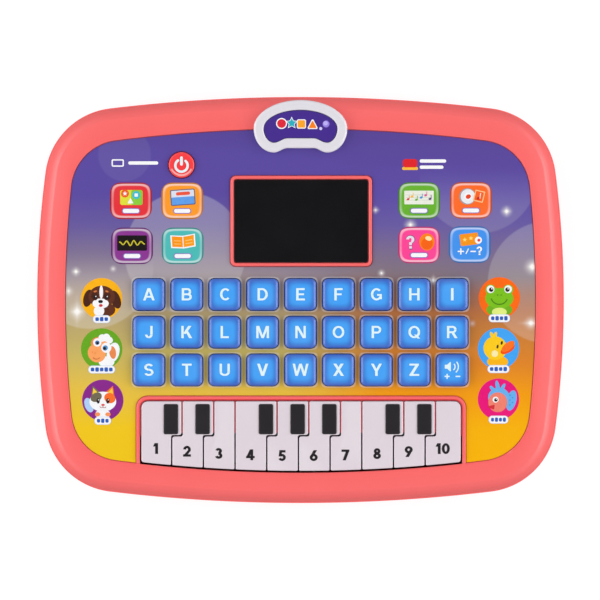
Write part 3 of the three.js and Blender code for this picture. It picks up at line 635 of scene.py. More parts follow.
class Graph(Nodes):
    """A material's nodes, which end in a Principled shader."""

    def __init__(self, name: str) -> None:
        """Starts an empty material of the given name.

        Args:
            name: the material's name.
        """
        self.material = bpy.data.materials.new(name)
        self.material.use_nodes = True
        super().__init__(self.material.node_tree)
        self.shader = self.node("ShaderNodeBsdfPrincipled")
        output = self.node("ShaderNodeOutputMaterial")
        self.link(self.shader.outputs[0], output.inputs[0])

    def put(self, name: str, term: object) -> None:
        """Sets or links the shader's input of that name."""
        self.feed(term, self.shader.inputs[name])

    def mix(self, factor: object, a: object, b: object, blend: str = "MIX") -> Socket:
        """Mixes two colours; each is an RGB tuple or a socket.

        Args:
            factor: share of b.
            a, b: the two colours.
            blend: the blend mode.

        Returns:
            The mixed colour.
        """
        made = self.node("ShaderNodeMix", data_type="RGBA", blend_type=blend)
        self.feed(factor, made.inputs[0])
        for term, socket in ((a, made.inputs[6]), (b, made.inputs[7])):
            self.feed((*term, 1.0) if isinstance(term, tuple) else term, socket)
        return made.outputs[2]

    def place(self) -> Socket:
        """The piece's Object coordinates, in metres."""
        return self.node("ShaderNodeTexCoord").outputs["Object"]

    def face_uv(self) -> Socket:
        """The piece's own UV, from -1 to 1 across its face."""
        return self.node("ShaderNodeUVMap", uv_map="face").outputs[0]

    def step(self, value: object, low: float, high: float) -> Socket:
        """A smooth step from 0 at low to 1 at high.

        Args:
            value: the number to step on.
            low, high: where the result is 0 and 1.

        Returns:
            The step's value.
        """
        made = self.node("ShaderNodeMapRange", interpolation_type="SMOOTHSTEP")
        self.feed(value, made.inputs["Value"])
        made.inputs["From Min"].default_value = low
        made.inputs["From Max"].default_value = high
        return made.outputs[0]

    def square_reach(self, power: float) -> tuple[Socket, Socket]:
        """The power mean of both UV axes, and the second axis by itself.

        Args:
            power: the mean's power.

        Returns:
            The mean, and the second axis.
        """
        uv = self.node("ShaderNodeSeparateXYZ")
        self.link(self.face_uv(), uv.inputs[0])
        parts = [self.math("POWER", self.math("ABSOLUTE", uv.outputs[i]), power) for i in (0, 1)]
        return self.math("POWER", self.math("ADD", *parts), 1 / power), uv.outputs[1]

    def noise(self, scale: float, detail: float = 2.0) -> Socket:
        """Noise of the given number of cells per metre, as 0 to 1.

        Args:
            scale: cells per metre.
            detail: octaves.

        Returns:
            The noise's value.
        """
        made = self.node("ShaderNodeTexNoise")
        self.link(self.place(), made.inputs["Vector"])
        made.inputs["Scale"].default_value = scale
        made.inputs["Detail"].default_value = detail
        return made.outputs[0]

    def ramp(self, value: object, stops: Sequence[tuple[float, Rgb]]) -> Socket:
        """A colour ramp through (place, colour) stops.

        Args:
            value: the place on the ramp.
            stops: places and colours.

        Returns:
            The colour there.
        """
        made = self.node("ShaderNodeValToRGB")
        elements = made.color_ramp.elements
        while len(elements) < len(stops):
            elements.new(0.5)
        for element, (where, colour) in zip(elements, stops):
            element.position = where
            element.color = (*colour, 1.0)
        self.feed(value, made.inputs[0])
        return made.outputs[0]

    def surface(self, roughness: float, spread: float, grain: float, scale: float = 900.0) -> None:
        """Roughness that varies by spread about its mean, and a fine bump of strength grain.

        Args:
            roughness: the mean.
            spread: half of its swing.
            grain: strength of the bump.
            scale: the bump's cells per metre.
        """
        smudge = self.noise(scale * 0.07, 3.0)
        low = self.math("MULTIPLY_ADD", smudge, 2 * spread, roughness - spread, clamp=True)
        self.link(low, self.shader.inputs["Roughness"])
        if grain > 0:
            bump = self.node("ShaderNodeBump")
            bump.inputs["Strength"].default_value = grain
            bump.inputs["Distance"].default_value = 0.0001
            self.link(self.noise(scale, 4.0), bump.inputs["Height"])
            self.link(bump.outputs[0], self.shader.inputs["Normal"])


@dataclass(frozen=True)
class Moulded:
    """Injection-moulded plastic: a colour with faint flow marks, soft gloss and painted highlights
    on convex edges.

    The colour swings by mottle with a slow noise; convex edges, found by Pointiness, are lightened
    as a painted highlight; roughness swings about its mean with a finer noise.
    """

    name: str
    colour: Rgb
    roughness: float = 0.3
    mottle: float = 0.03
    grain: float = 0.08
    edge_highlight: float = 0.12
    coat: float = 0.25
    specular: float = 0.5

    def build(self) -> bpy.types.Material:
        """Makes the material.

        Returns:
            The material.
        """
        g = Graph(self.name)
        dark = tuple(c * (1 - self.mottle) for c in self.colour)
        light = tuple(min(1.0, c * (1 + self.mottle) + 0.004) for c in self.colour)
        base = g.mix(g.noise(55.0, 3.0), dark, light)
        # painted highlight: convex edges are lightened towards a paler colour of the plastic
        point = g.node("ShaderNodeNewGeometry").outputs["Pointiness"]
        edge = g.math("MULTIPLY_ADD", point, 8.0, -4.2, clamp=True)
        highlight_colour = tuple(c + (1 - c) * 0.5 for c in self.colour)
        base = g.mix(g.math("MULTIPLY", edge, self.edge_highlight), base, highlight_colour)
        g.put("Base Color", base)
        g.surface(self.roughness, self.roughness * 0.15, self.grain)
        g.put("Coat Weight", self.coat)
        g.put("Coat Roughness", 0.08)
        g.put("Specular IOR Level", self.specular)
        return g.material


@dataclass(frozen=True)
class GlossCap:
    """A glossy cap whose face is painted darker at the rim and lighter in the middle, by its own
    UV: painted shade and painted light.

    The bands follow the square outline, as the distance from the middle is a fourth-power mean.
    """

    name: str
    rim: Rgb
    middle: Rgb
    roughness: float = 0.14
    coat: float = 0.3
    specular: float = 0.5

    def build(self) -> bpy.types.Material:
        """Makes the material.

        Returns:
            The material.
        """
        g = Graph(self.name)
        reach, _ = g.square_reach(4.0)
        # painted shade at the face's border and painted light at its centre
        colour = g.mix(g.step(reach, 0.5, 0.99), self.middle, self.rim)
        colour = g.mix(g.math("MULTIPLY", g.noise(70.0), 0.06), colour, (1.0, 1.0, 1.0))
        g.put("Base Color", colour)
        g.surface(self.roughness, 0.03, 0.03)
        g.put("Coat Weight", self.coat)
        g.put("Coat Roughness", 0.05)
        g.put("Specular IOR Level", self.specular)
        return g.material


@dataclass(frozen=True)
class InkOrPaintedGlint:
    """A printed colour, also used for a painted highlight: slightly uneven in tone, satin, with a
    fine screen texture.
    """

    name: str
    colour: Rgb
    roughness: float = 0.35
    mottle: float = 0.05

    def build(self) -> bpy.types.Material:
        """Makes the material.

        Returns:
            The material.
        """
        g = Graph(self.name)
        dark = tuple(c * (1 - self.mottle) for c in self.colour)
        light = tuple(min(1.0, c * (1 + self.mottle)) for c in self.colour)
        g.put("Base Color", g.mix(g.noise(400.0, 2.0), dark, light))
        g.surface(self.roughness, 0.05, 0.02, 2500.0)
        return g.material


@dataclass(frozen=True)
class Glow:
    """A soft-edged round light patch of the printed artwork."""

    x: float
    y: float
    r: float
    strength: float
    soft: float = 0.5
    top: float = 90.0


@dataclass(frozen=True)
class Flare:
    """A point of light of the printed artwork, with fading arms along x and y."""

    x: float
    y: float
    core: float
    arm_x: float = 0.0
    arm_y: float = 0.0
    strength: float = 0.9


@dataclass(frozen=True)
class KeyField:
    """Where the letter keys' holes are: the middle one, pitches, counts and a half width."""

    x: float
    y: float
    pitch_x: float
    pitch_y: float
    half: float
    columns: int = 9
    rows: int = 3


@dataclass(frozen=True)
class PrintedFilm:
    """The printed film: violet at the top, through grey-mauve, to orange and yellow at the foot.

    Two colour ramps by height, one for each side, are mixed across the width. Light round
    patches are added where a patch's radius exceeds the distance from its middle.
    """

    name: str
    keys: KeyField
    glows: tuple[Glow, ...] = ()
    flares: tuple[Flare, ...] = ()
    low: float = -80.0
    high: float = 80.0
    left_ends: float = -15.0
    right_starts: float = 45.0
    halo: float = 0.3

    LEFT: ClassVar[tuple[tuple[float, tuple[int, int, int]], ...]] = (
        (-80, (243, 200, 22)),
        (-58, (243, 201, 30)),
        (-40, (232, 194, 72)),
        (-24, (204, 184, 100)),
        (-10, (188, 166, 112)),
        (2, (176, 152, 126)),
        (12, (152, 138, 150)),
        (22, (130, 116, 150)),
        (34, (106, 92, 160)),
        (48, (93, 76, 163)),
        (66, (93, 76, 163)),
        (80, (88, 70, 150)),
    )
    RIGHT: ClassVar[tuple[tuple[float, tuple[int, int, int]], ...]] = (
        (-80, (251, 184, 0)),
        (-58, (250, 180, 2)),
        (-42, (246, 158, 14)),
        (-28, (226, 134, 40)),
        (-14, (202, 128, 58)),
        (-4, (184, 112, 66)),
        (4, (164, 112, 92)),
        (12, (134, 118, 128)),
        (22, (124, 108, 146)),
        (34, (106, 92, 164)),
        (48, (95, 78, 167)),
        (80, (90, 70, 150)),
    )

    def build(self) -> bpy.types.Material:
        """Makes the material.

        Returns:
            The material.
        """
        g = Graph(self.name)
        axes = g.node("ShaderNodeSeparateXYZ")
        g.link(g.place(), axes.inputs[0])
        x = g.math("MULTIPLY", axes.outputs[0], 1 / MM)
        y = g.math("MULTIPLY", axes.outputs[1], 1 / MM)
        cloud = g.math("MULTIPLY_ADD", g.noise(22.0, 1.0), 8.0, -4.0)
        y_soft = g.math("ADD", y, cloud)
        span = self.high - self.low
        height = g.math("DIVIDE", g.math("SUBTRACT", y_soft, self.low), span, clamp=True)
        ramps = [
            g.ramp(height, [((at - self.low) / span, linear(*c)) for at, c in side])
            for side in (self.LEFT, self.RIGHT)
        ]
        colour = g.mix(g.step(x, self.left_ends, self.right_starts), *ramps)
        colour = g.mix(self.hole_halo(g, x, y), colour, (1.0, 1.0, 1.0))
        for glow in self.glows:
            colour = g.mix(self.patch(g, x, y, glow), colour, (1.0, 0.98, 0.95))
        for flare in self.flares:
            colour = g.mix(self.flare(g, x, y, flare), colour, (1.0, 0.97, 0.93))
        g.put("Base Color", colour)
        g.surface(0.22, 0.04, 0.03, 1500.0)
        g.put("Coat Weight", 0.15)
        return g.material

    def hole_halo(self, g: Graph, x: Socket, y: Socket) -> Socket:
        """A thin light line round every key hole, from the distance to the nearest key's middle.

        Args:
            g: the material's nodes.
            x, y: the place, in millimetres.

        Returns:
            The line's strength.
        """
        keys = self.keys
        offsets = []
        for value, middle, pitch, count in (
            (x, keys.x, keys.pitch_x, keys.columns),
            (y, keys.y, keys.pitch_y, keys.rows),
        ):
            shifted = g.math("SUBTRACT", value, middle)
            limit = (count - 1) / 2
            cell = g.math("ROUND", g.math("DIVIDE", shifted, pitch))
            cell = g.math("MINIMUM", g.math("MAXIMUM", cell, -limit), limit)
            offsets.append(g.math("SUBTRACT", shifted, g.math("MULTIPLY", cell, pitch)))
        parts = [g.math("POWER", g.math("ABSOLUTE", o), 7.0) for o in offsets]
        reach = g.math("POWER", g.math("ADD", *parts), 1 / 7)
        return g.math("MULTIPLY", g.step(reach, keys.half + 0.75, keys.half + 0.35), self.halo)

    @staticmethod
    def flare(g: Graph, x: Socket, y: Socket, flare: Flare) -> Socket:
        """Brightness of a flare: a round core plus arms, each a product of two fades.

        Args:
            g: the material's nodes.
            x, y: the place, in millimetres.
            flare: the point of light.

        Returns:
            Its brightness.
        """
        dx = g.math("ABSOLUTE", g.math("SUBTRACT", x, flare.x))
        dy = g.math("ABSOLUTE", g.math("SUBTRACT", y, flare.y))

        def fade(distance: object, reach: float) -> Socket:
            """One minus distance over reach, squared, and nothing past the reach."""
            near = g.math("SUBTRACT", 1.0, g.math("DIVIDE", distance, reach), clamp=True)
            return g.math("MULTIPLY", near, near)

        away = g.math("SQRT", g.math("ADD", g.math("MULTIPLY", dx, dx), g.math("MULTIPLY", dy, dy)))
        total = fade(away, flare.core * 2)
        for along, across, arm in ((dx, dy, flare.arm_x), (dy, dx, flare.arm_y)):
            if arm > 0:
                ray = g.math("MULTIPLY", fade(along, arm), fade(across, flare.core * 0.8))
                total = g.math("ADD", total, g.math("MULTIPLY", ray, 0.6))
        return g.math("MULTIPLY", total, flare.strength, clamp=True)

    @staticmethod
    def patch(g: Graph, x: Socket, y: Socket, glow: Glow) -> Socket:
        """How strongly a patch covers each place: full inside its radius, gone above its top.

        Args:
            g: the material's nodes.
            x, y: the place, in millimetres.
            glow: the patch.

        Returns:
            Its strength.
        """
        dx = g.math("SUBTRACT", x, glow.x)
        dy = g.math("SUBTRACT", y, glow.y)
        away = g.math("SQRT", g.math("ADD", g.math("POWER", dx, 2.0), g.math("POWER", dy, 2.0)))
        inside = g.step(away, glow.r + glow.soft, glow.r - glow.soft)
        below = g.step(y, glow.top, glow.top - 22.0)
        return g.math("MULTIPLY", g.math("MULTIPLY", inside, below), glow.strength)


@dataclass(frozen=True)
class PrintInks:
    """Printed colours that each vertex carries in its "ink" attribute, with a fine unevenness."""

    name: str
    roughness: float = 0.28

    def build(self) -> bpy.types.Material:
        """Makes the material.

        Returns:
            The material.
        """
        g = Graph(self.name)
        ink = g.node("ShaderNodeAttribute", attribute_name="ink").outputs["Color"]
        tone = g.math("MULTIPLY_ADD", g.noise(350.0, 2.0), 0.12, 0.94)
        grey = g.node("ShaderNodeCombineColor")
        for socket in grey.inputs:
            g.link(tone, socket)
        g.put("Base Color", g.mix(1.0, ink, grey.outputs[0], "MULTIPLY"))
        g.surface(self.roughness, 0.05, 0.02, 1500.0)
        return g.material


@dataclass(frozen=True)
class Tile:
    """A printed picture tile: dark halo, light rim that is strongest above and below, full fill."""

    name: str
    fill: Rgb

    def build(self) -> bpy.types.Material:
        """Makes the material.

        Returns:
            The material.
        """
        g = Graph(self.name)
        reach, upright = g.square_reach(5.0)
        light = tuple(c + (1 - c) * 0.6 for c in self.fill)
        halo = tuple(c * 0.5 for c in self.fill)
        rim = g.step(reach, 0.79, 0.87)
        upright = g.math("MULTIPLY", upright, upright)
        glow = g.math("MULTIPLY", rim, g.math("MULTIPLY_ADD", upright, 0.65, 0.3, clamp=True))
        colour = g.mix(g.math("MULTIPLY", g.noise(90.0), 0.06), self.fill, light)
        colour = g.mix(glow, colour, light)
        colour = g.mix(g.step(reach, 0.9, 0.96), colour, halo)
        g.put("Base Color", colour)
        g.surface(0.24, 0.04, 0.02, 1500.0)
        return g.material


@dataclass(frozen=True)
class Metal:
    """Plated steel with fine turning marks."""

    name: str
    colour: Rgb
    roughness: float = 0.3

    def build(self) -> bpy.types.Material:
        """Makes the material.

        Returns:
            The material.
        """
        g = Graph(self.name)
        light = tuple(min(1.0, c * 1.1) for c in self.colour)
        g.put("Base Color", g.mix(g.noise(700.0, 4.0), self.colour, light))
        g.put("Metallic", 1.0)
        g.surface(self.roughness, 0.08, 0.15, 3000.0)
        return g.material


Finish = Moulded | GlossCap | InkOrPaintedGlint | PrintedFilm | PrintInks | Tile | Metal


@dataclass
class Palette:
    """Every finish of the toy, built once and shared by name."""

    made: dict[str, bpy.types.Material] = field(default_factory=dict)

    def use(self, finish: Finish) -> bpy.types.Material:
        """The material of a finish."""
        if finish.name not in self.made:
            self.made[finish.name] = finish.build()
        return self.made[finish.name]


CORAL = Moulded("coral_moulding", linear(255, 104, 104), 0.3, coat=0.2)
CORAL_FLAT = Moulded("coral_flat", CORAL.colour, 0.3, edge_highlight=0.0, coat=0.2)
IVORY = Moulded("ivory_moulding", linear(226, 214, 222), 0.32, edge_highlight=0.2)
# a darker red than the coral: painted shade for the casing ribs seen in the piano's seams
SEAM_SHADE_RED = Moulded("seam_shade_red", linear(214, 52, 66), 0.4, coat=0.0)
PAD_BLACK = Moulded("black_pad", linear(34, 30, 34), 0.3, edge_highlight=0.05, coat=0.1)
BADGE_WHITE = Moulded("badge_white", linear(228, 225, 232), 0.22, coat=0.4)
BADGE_PURPLE = Moulded("badge_purple", linear(66, 38, 142), 0.3, mottle=0.12)
BUTTON_RED = Moulded("button_red", linear(255, 62, 66), 0.2, coat=0.4)
WINDOW_BLACK = Moulded("window_black", linear(14, 13, 16), 0.08, mottle=0.2, grain=0.0, coat=0.3)
# the rim colour is painted shade and the middle colour is painted light on one blue plastic
KEY_BLUE = GlossCap("key_blue", linear(26, 92, 196), linear(58, 162, 250))
# pink of the painted highlight on the power button
PAINTED_GLINT_PINK = InkOrPaintedGlint("pink_painted_glint", linear(255, 170, 168))
LETTER_WHITE = InkOrPaintedGlint("letter_white", linear(226, 246, 252))
NUMERAL_BLACK = InkOrPaintedGlint("numeral_black", linear(26, 22, 26))
STEEL = Metal("plated_steel", (0.52, 0.53, 0.55))
RUBBER = Moulded("dome_rubber", (0.25, 0.27, 0.3), 0.7, grain=0.3, coat=0.0)
PRINT_INKS = PrintInks("print_inks")
LAMINATE = Moulded("board_laminate", (0.02, 0.14, 0.06), 0.4, grain=0.2)
SLEEVE = Moulded("cell_sleeve", (0.04, 0.2, 0.09), 0.25)
CONE_BLACK = Moulded("speaker_black", (0.03, 0.03, 0.035), 0.6, grain=0.3, coat=0.0)


# --- casing


@dataclass(frozen=True)
class Bowed:
    """A bowed rectangle: four side arcs and four corner arcs, all tangent."""

    half_w: float
    half_h: float
    side_r: float
    end_r: float
    corner_r: float
    shift_y: float = 0.0

    def corner(self) -> tuple[float, float, float, float, float, float]:
        """The corner arc's centre, the side and end arcs' centres and the two join angles.

        The corner's centre lies side_r - corner_r from one centre and end_r - corner_r from
        the other, so it is where those two circles cross.

        Returns:
            The corner centre's x and y, the side centre's x, the end centre's y and both angles.
        """
        sx, ey = self.half_w - self.side_r, self.half_h - self.end_r
        apart = math.hypot(sx, ey)
        a, b = self.side_r - self.corner_r, self.end_r - self.corner_r
        along = (a * a - b * b + apart * apart) / (2 * apart)
        across = math.sqrt(a * a - along * along)
        x = sx + (-sx * along - ey * across) / apart
        y = (ey * along - sx * across) / apart
        return x, y, sx, ey, math.atan2(y, x - sx), math.atan2(y - ey, x)

    def outline(self, inset: float = 0.0, side: int = 30, end: int = 44, corner: int = 26) -> Array:
        """The outline moved in by inset, counter-clockwise from the right side's foot.

        Args:
            inset: distance to move in.
            side, end, corner: points of each arc.

        Returns:
            The outline's points.
        """
        x, y, sx, ey, s, e = self.corner()
        rs, re, rc, pi = self.side_r - inset, self.end_r - inset, self.corner_r - inset, math.pi
        parts = [
            arc(sx, 0, rs, -s, s, side),
            arc(x, y, rc, s, e, corner),
            arc(0, ey, re, e, pi - e, end),
            arc(-x, y, rc, pi - e, pi - s, corner),
            arc(-sx, 0, rs, pi - s, pi + s, side),
            arc(-x, -y, rc, pi + s, pi + e, corner),
            arc(0, -ey, re, pi + e, 2 * pi - e, end),
            arc(x, -y, rc, 2 * pi - e, 2 * pi - s, corner),
        ]
        return np.vstack(parts) + [0, self.shift_y]

    def foot(self, x: float | Array, outset: float = 0.0) -> Array:
        """Height of the lower edge at x."""
        r = self.end_r + outset
        return self.shift_y + (self.end_r - self.half_h) - np.sqrt(r**2 - np.asarray(x) ** 2)


@dataclass
class Layout:
    """Sizes that several pieces share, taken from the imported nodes."""

    film_low: Array = field(default_factory=lambda: node_box("graphic_overlay")[0])
    film_high: Array = field(default_factory=lambda: node_box("graphic_overlay")[1])
    case_high: Array = field(default_factory=lambda: node_box("front_shell")[1])
    parting: float = field(default_factory=lambda: float(node_box("front_shell")[0][2]))
    film_half_h: float = 77.9
    fit: float = 0.35
    gap: float = 0.3
    skin: float = 2.2
    bead_w: float = 1.7
    bead_rise: float = 0.9
    screen_bead_w: float = 1.4
    window_r: float = 1.2
    key_flange: float = 0.9
    power_flange: float = 1.1
    key_hole_r: float = 2.85
    piano_clear: float = 0.65
    piano_tongue: float = 3.95
    piano_corner_r: float = 3.6
    foot_points: int = 40

    @property
    def case(self) -> Bowed:
        """The casing's outline."""
        return Bowed(self.case_high[0], self.case_high[1], 447, 726, 33.5)

    @property
    def film(self) -> Bowed:
        """The film's outline."""
        middle = float(self.film_high[1]) - self.film_half_h
        return Bowed(self.film_high[0], self.film_half_h, 499, 658, 22.9, middle)

    @property
    def film_top(self) -> float:
        """Height of the film's face."""
        return float(self.film_high[2])

    def key_nodes(self) -> list[str]:
        """The letter caps' node names, in reading order."""
        return [f"key_{c}" for c in "abcdefghijklmnopqrstuvwxyz"] + ["key_volume"]

    def key_size(self) -> float:
        """Width of a cap above its flange."""
        low, high = node_box("key_a")
        return float(high[0] - low[0]) - 2 * self.key_flange

    def power_radius(self) -> float:
        """Radius of the power button above its flange."""
        low, high = node_box("power_button")
        return float(high[0] - low[0]) / 2 - self.power_flange

    def window_edge(self, grow: float, corner: float) -> Array:
        """The screen window's outline, moved out by grow and with the given corner radius.

        Args:
            grow: distance to move out.
            corner: radius of the corners.

        Returns:
            The outline, counter-clockwise.
        """
        low, high = node_box("screen_window")
        middle, size = (low + high) / 2, high - low + 2 * grow
        return round_rect(middle[0], middle[1], size[0], size[1], corner)

    def piano_sides(self) -> tuple[float, float]:
        """Left and right side of the piano opening."""
        left, right = node_box("piano_key_1")[0][0], node_box("piano_key_10")[1][0]
        return float(left) - self.piano_clear, float(right) + self.piano_clear

    def piano_top(self) -> float:
        """Upper side of the piano opening, which the keys' tongues reach past."""
        return float(node_box("piano_key_1")[1][1]) - self.piano_tongue

    def piano_opening(self, grow: float = 0.0, steps: int = 10) -> Array:
        """The piano opening moved out by grow, with round top corners and a bowed foot.

        Args:
            grow: distance to move out.
            steps: points of each corner.

        Returns:
            The outline, counter-clockwise from the foot's left end.
        """
        left, right = self.piano_sides()
        left, right, top = left - grow, right + grow, self.piano_top() + grow
        r, q = self.piano_corner_r + grow, math.pi / 2
        x = np.linspace(left, right, self.foot_points)
        foot = np.column_stack([x, self.film.foot(x, self.fit)])
        corners = [
            arc(cx, top - r, r, start, start + turn, count)
            for cx, first in ((right - r, 0), (left + r, q))
            for start, turn, count in ((first, q, steps), (first + q, 0, 1))
        ]
        return np.vstack([foot, *corners])

    def piano_arch(self, grow: float) -> Array:
        """The piano opening's sides and top, moved out by grow, from right to left."""
        return self.piano_opening(grow)[self.foot_points :]

    def field_holes(self, extra: float = 0.0) -> list[Array]:
        """Edges of the holes for the caps and the power button, moved out by extra.

        Args:
            extra: distance to move out.

        Returns:
            One outline per hole.
        """
        size = self.key_size() + 2 * (self.fit + extra)
        holes = []
        for node in self.key_nodes():
            x, y, _ = node_middle(node)
            holes.append(round_rect(x, y, size, size, self.key_hole_r + extra))
        x, y, _ = node_middle("power_button")
        holes.append(circle(x, y, self.power_radius() + self.fit + extra))
        return holes


@dataclass
class FrontCasing:
    """The coral front half: bevel, crease, crest round the film, wall under it and both beads."""

    layout: Layout
    bevel_r: float = 10.8
    bevel_above: float = 1.4
    sweep: float = 60.0
    crest_w: float = 0.9
    crest_rise: float = 0.4
    pocket_depth: float = 0.8
    wall: float = 2.0
    under: float = 3.0
    window_seat: float = 2.0
    foot_chamfer: float = 0.25
    slope_bulge: float = 0.18
    lip_r: float = 0.3
    bead_start: float = 1.2
    bead_fade: float = 2.4
    bead_drop: float = 1.1

    def build(self, palette: Palette) -> None:
        """Makes the casing piece.

        Args:
            palette: the toy's materials.
        """
        lay = self.layout
        rings = self.wall_rings()
        faces = grid_faces(len(rings), len(rings[0])).tolist()
        shell = Form(np.vstack(rings), [tuple(q) for q in faces])
        floor = lay.film_top - self.pocket_depth
        sight = lay.window_edge(-self.window_seat, lay.window_r)
        holes = [*lay.field_holes(), lay.piano_opening(), sight]
        field_plate = plate(
            lay.film.outline(self.under), holes, floor - self.wall, floor, rim=False
        )
        make_piece(
            "front_casing",
            joined([shell, field_plate, self.piano_bead(), self.screen_bead()]),
            palette.use(CORAL),
            Body.CASING.value,
            ["front_shell"],
            weld=True,
        )

    def bevel(self, depth: float, steps: int) -> list[Array]:
        """Rings of the bevel's arc at a depth inside the outer face, from the side up.

        Args:
            depth: distance inside the outer face.
            steps: segments of the arc.

        Returns:
            Arrays of (x, y, z) rows.
        """
        z0 = self.layout.parting + self.bevel_above
        r = self.bevel_r - depth
        turns = np.radians(np.linspace(0, self.sweep, steps + 1))
        case = self.layout.case
        return [
            at_height(case.outline(self.bevel_r - r * math.cos(t)), z0 + r * math.sin(t))
            for t in turns
        ]

    def wall_rings(self) -> list[Array]:
        """Rings from under the film's edge, down the inside, round the outside and back.

        Returns:
            Arrays of (x, y, z) rows.
        """
        lay = self.layout
        case, film = lay.case, lay.film
        floor = lay.film_top - self.pocket_depth
        inner = self.bevel(lay.skin, 8)[::-1]
        outer = self.bevel(0.0, 18)
        crest_z = lay.film_top + self.crest_rise
        crest = film.outline(-(lay.fit + self.crest_w))
        crease = outer[-1]
        slope = []
        for s in (0.03, 0.08, 0.3, 0.55, 0.8, 0.95):
            flat = crease[:, :2] * (1 - s) + crest * s
            bulge = self.slope_bulge * math.sin(math.pi * s)
            slope.append(at_height(flat, crease[0, 2] * (1 - s) + crest_z * s + bulge))
        lip = [
            at_height(
                film.outline(-(lay.fit + self.lip_r * (1 - math.sin(t)))),
                crest_z - self.lip_r * (1 - math.cos(t)),
            )
            for t in np.linspace(0, math.pi / 2, 5)
        ]
        return [
            at_height(film.outline(self.under), floor - self.wall),
            *[at_height(r[:, :2], min(r[0, 2], floor - self.wall)) for r in inner],
            at_height(case.outline(lay.skin), lay.parting),
            at_height(case.outline(self.foot_chamfer), lay.parting),
            at_height(case.outline(0.0), lay.parting + self.foot_chamfer),
            *outer,
            *slope,
            at_height(crest, crest_z),
            *lip,
            at_height(film.outline(-lay.fit), floor),
            at_height(film.outline(self.under), floor),
        ]

    def screen_bead(self) -> Form:
        """The raised bezel round the window.

        Returns:
            The closed form.
        """
        lay, w = self.layout, self.layout.screen_bead_w
        line = lay.window_edge(lay.gap + w / 2, lay.window_r + w / 2)
        foot = lay.film_top - self.pocket_depth - self.wall
        return rib(line, w, foot, lay.film_top + lay.bead_rise, 0.5)

    def piano_bead(self) -> Form:
        """The raised bead round the piano's sides and top; its feet sink into the frame.

        Returns:
            The closed form.
        """
        lay = self.layout
        half = lay.bead_w / 2
        keep = lay.piano_arch(half)
        left, right = lay.piano_sides()
        foot_y = float(lay.film.foot(right, lay.fit)) - self.bead_start
        rise = foot_y + (keep[0, 1] - foot_y) * np.linspace(0, 1, 8, endpoint=False)
        up = np.column_stack([np.full(len(rise), right + half), rise])
        down = np.column_stack([np.full(len(rise), left - half), rise[::-1]])
        line = np.vstack([up, keep, down])
        sink = 1 - np.clip((line[:, 1] - foot_y) / self.bead_fade, 0, 1)
        top = lay.film_top + lay.bead_rise - self.bead_drop * sink**2
        foot = lay.film_top - self.pocket_depth - self.wall
        return bar(line, lay.bead_w, foot, top, 0.6)


@dataclass
class BackEdge:
    """The round edge of the coral back half, from the parting line to the flat back."""

    layout: Layout
    edge_r: float = 8.0
    thick: float = 1.0
    over: float = 0.01
    chamfer: float = 0.25
    flat_w: float = 1.5

    def build(self, palette: Palette) -> None:
        """Makes the edge: inset r (1 - cos t) and height r (1 - sin t) for t from 90 to 0 degrees.

        Args:
            palette: the toy's materials.
        """
        case, r = self.layout.case, self.edge_r
        top = float(node_box("back_shell")[1][2])
        turns = np.radians(np.linspace(90, 0, 17))
        inner_r = r - self.thick

        def ring(inset: float, z: float) -> Array:
            """The casing's outline at an inset and a height."""
            return at_height(case.outline(inset), z)

        inner = [ring(r - inner_r * math.cos(t), r - inner_r * math.sin(t)) for t in turns[::-1]]
        outer = [
            ring(r * (1 - math.cos(t)) - self.over, r * (1 - math.sin(t)) - self.over)
            for t in turns
        ]
        rings = [
            ring(self.thick, top - 0.02),
            *inner,
            ring(r + self.flat_w, self.thick),
            ring(r + self.flat_w, -self.over),
            *outer,
            ring(-self.over, top - self.chamfer),
            ring(self.chamfer, top - 0.01),
        ]
        form = loft(rings, capped=False)
        make_piece("back_edge", form, palette.use(CORAL), Body.CASING.value)


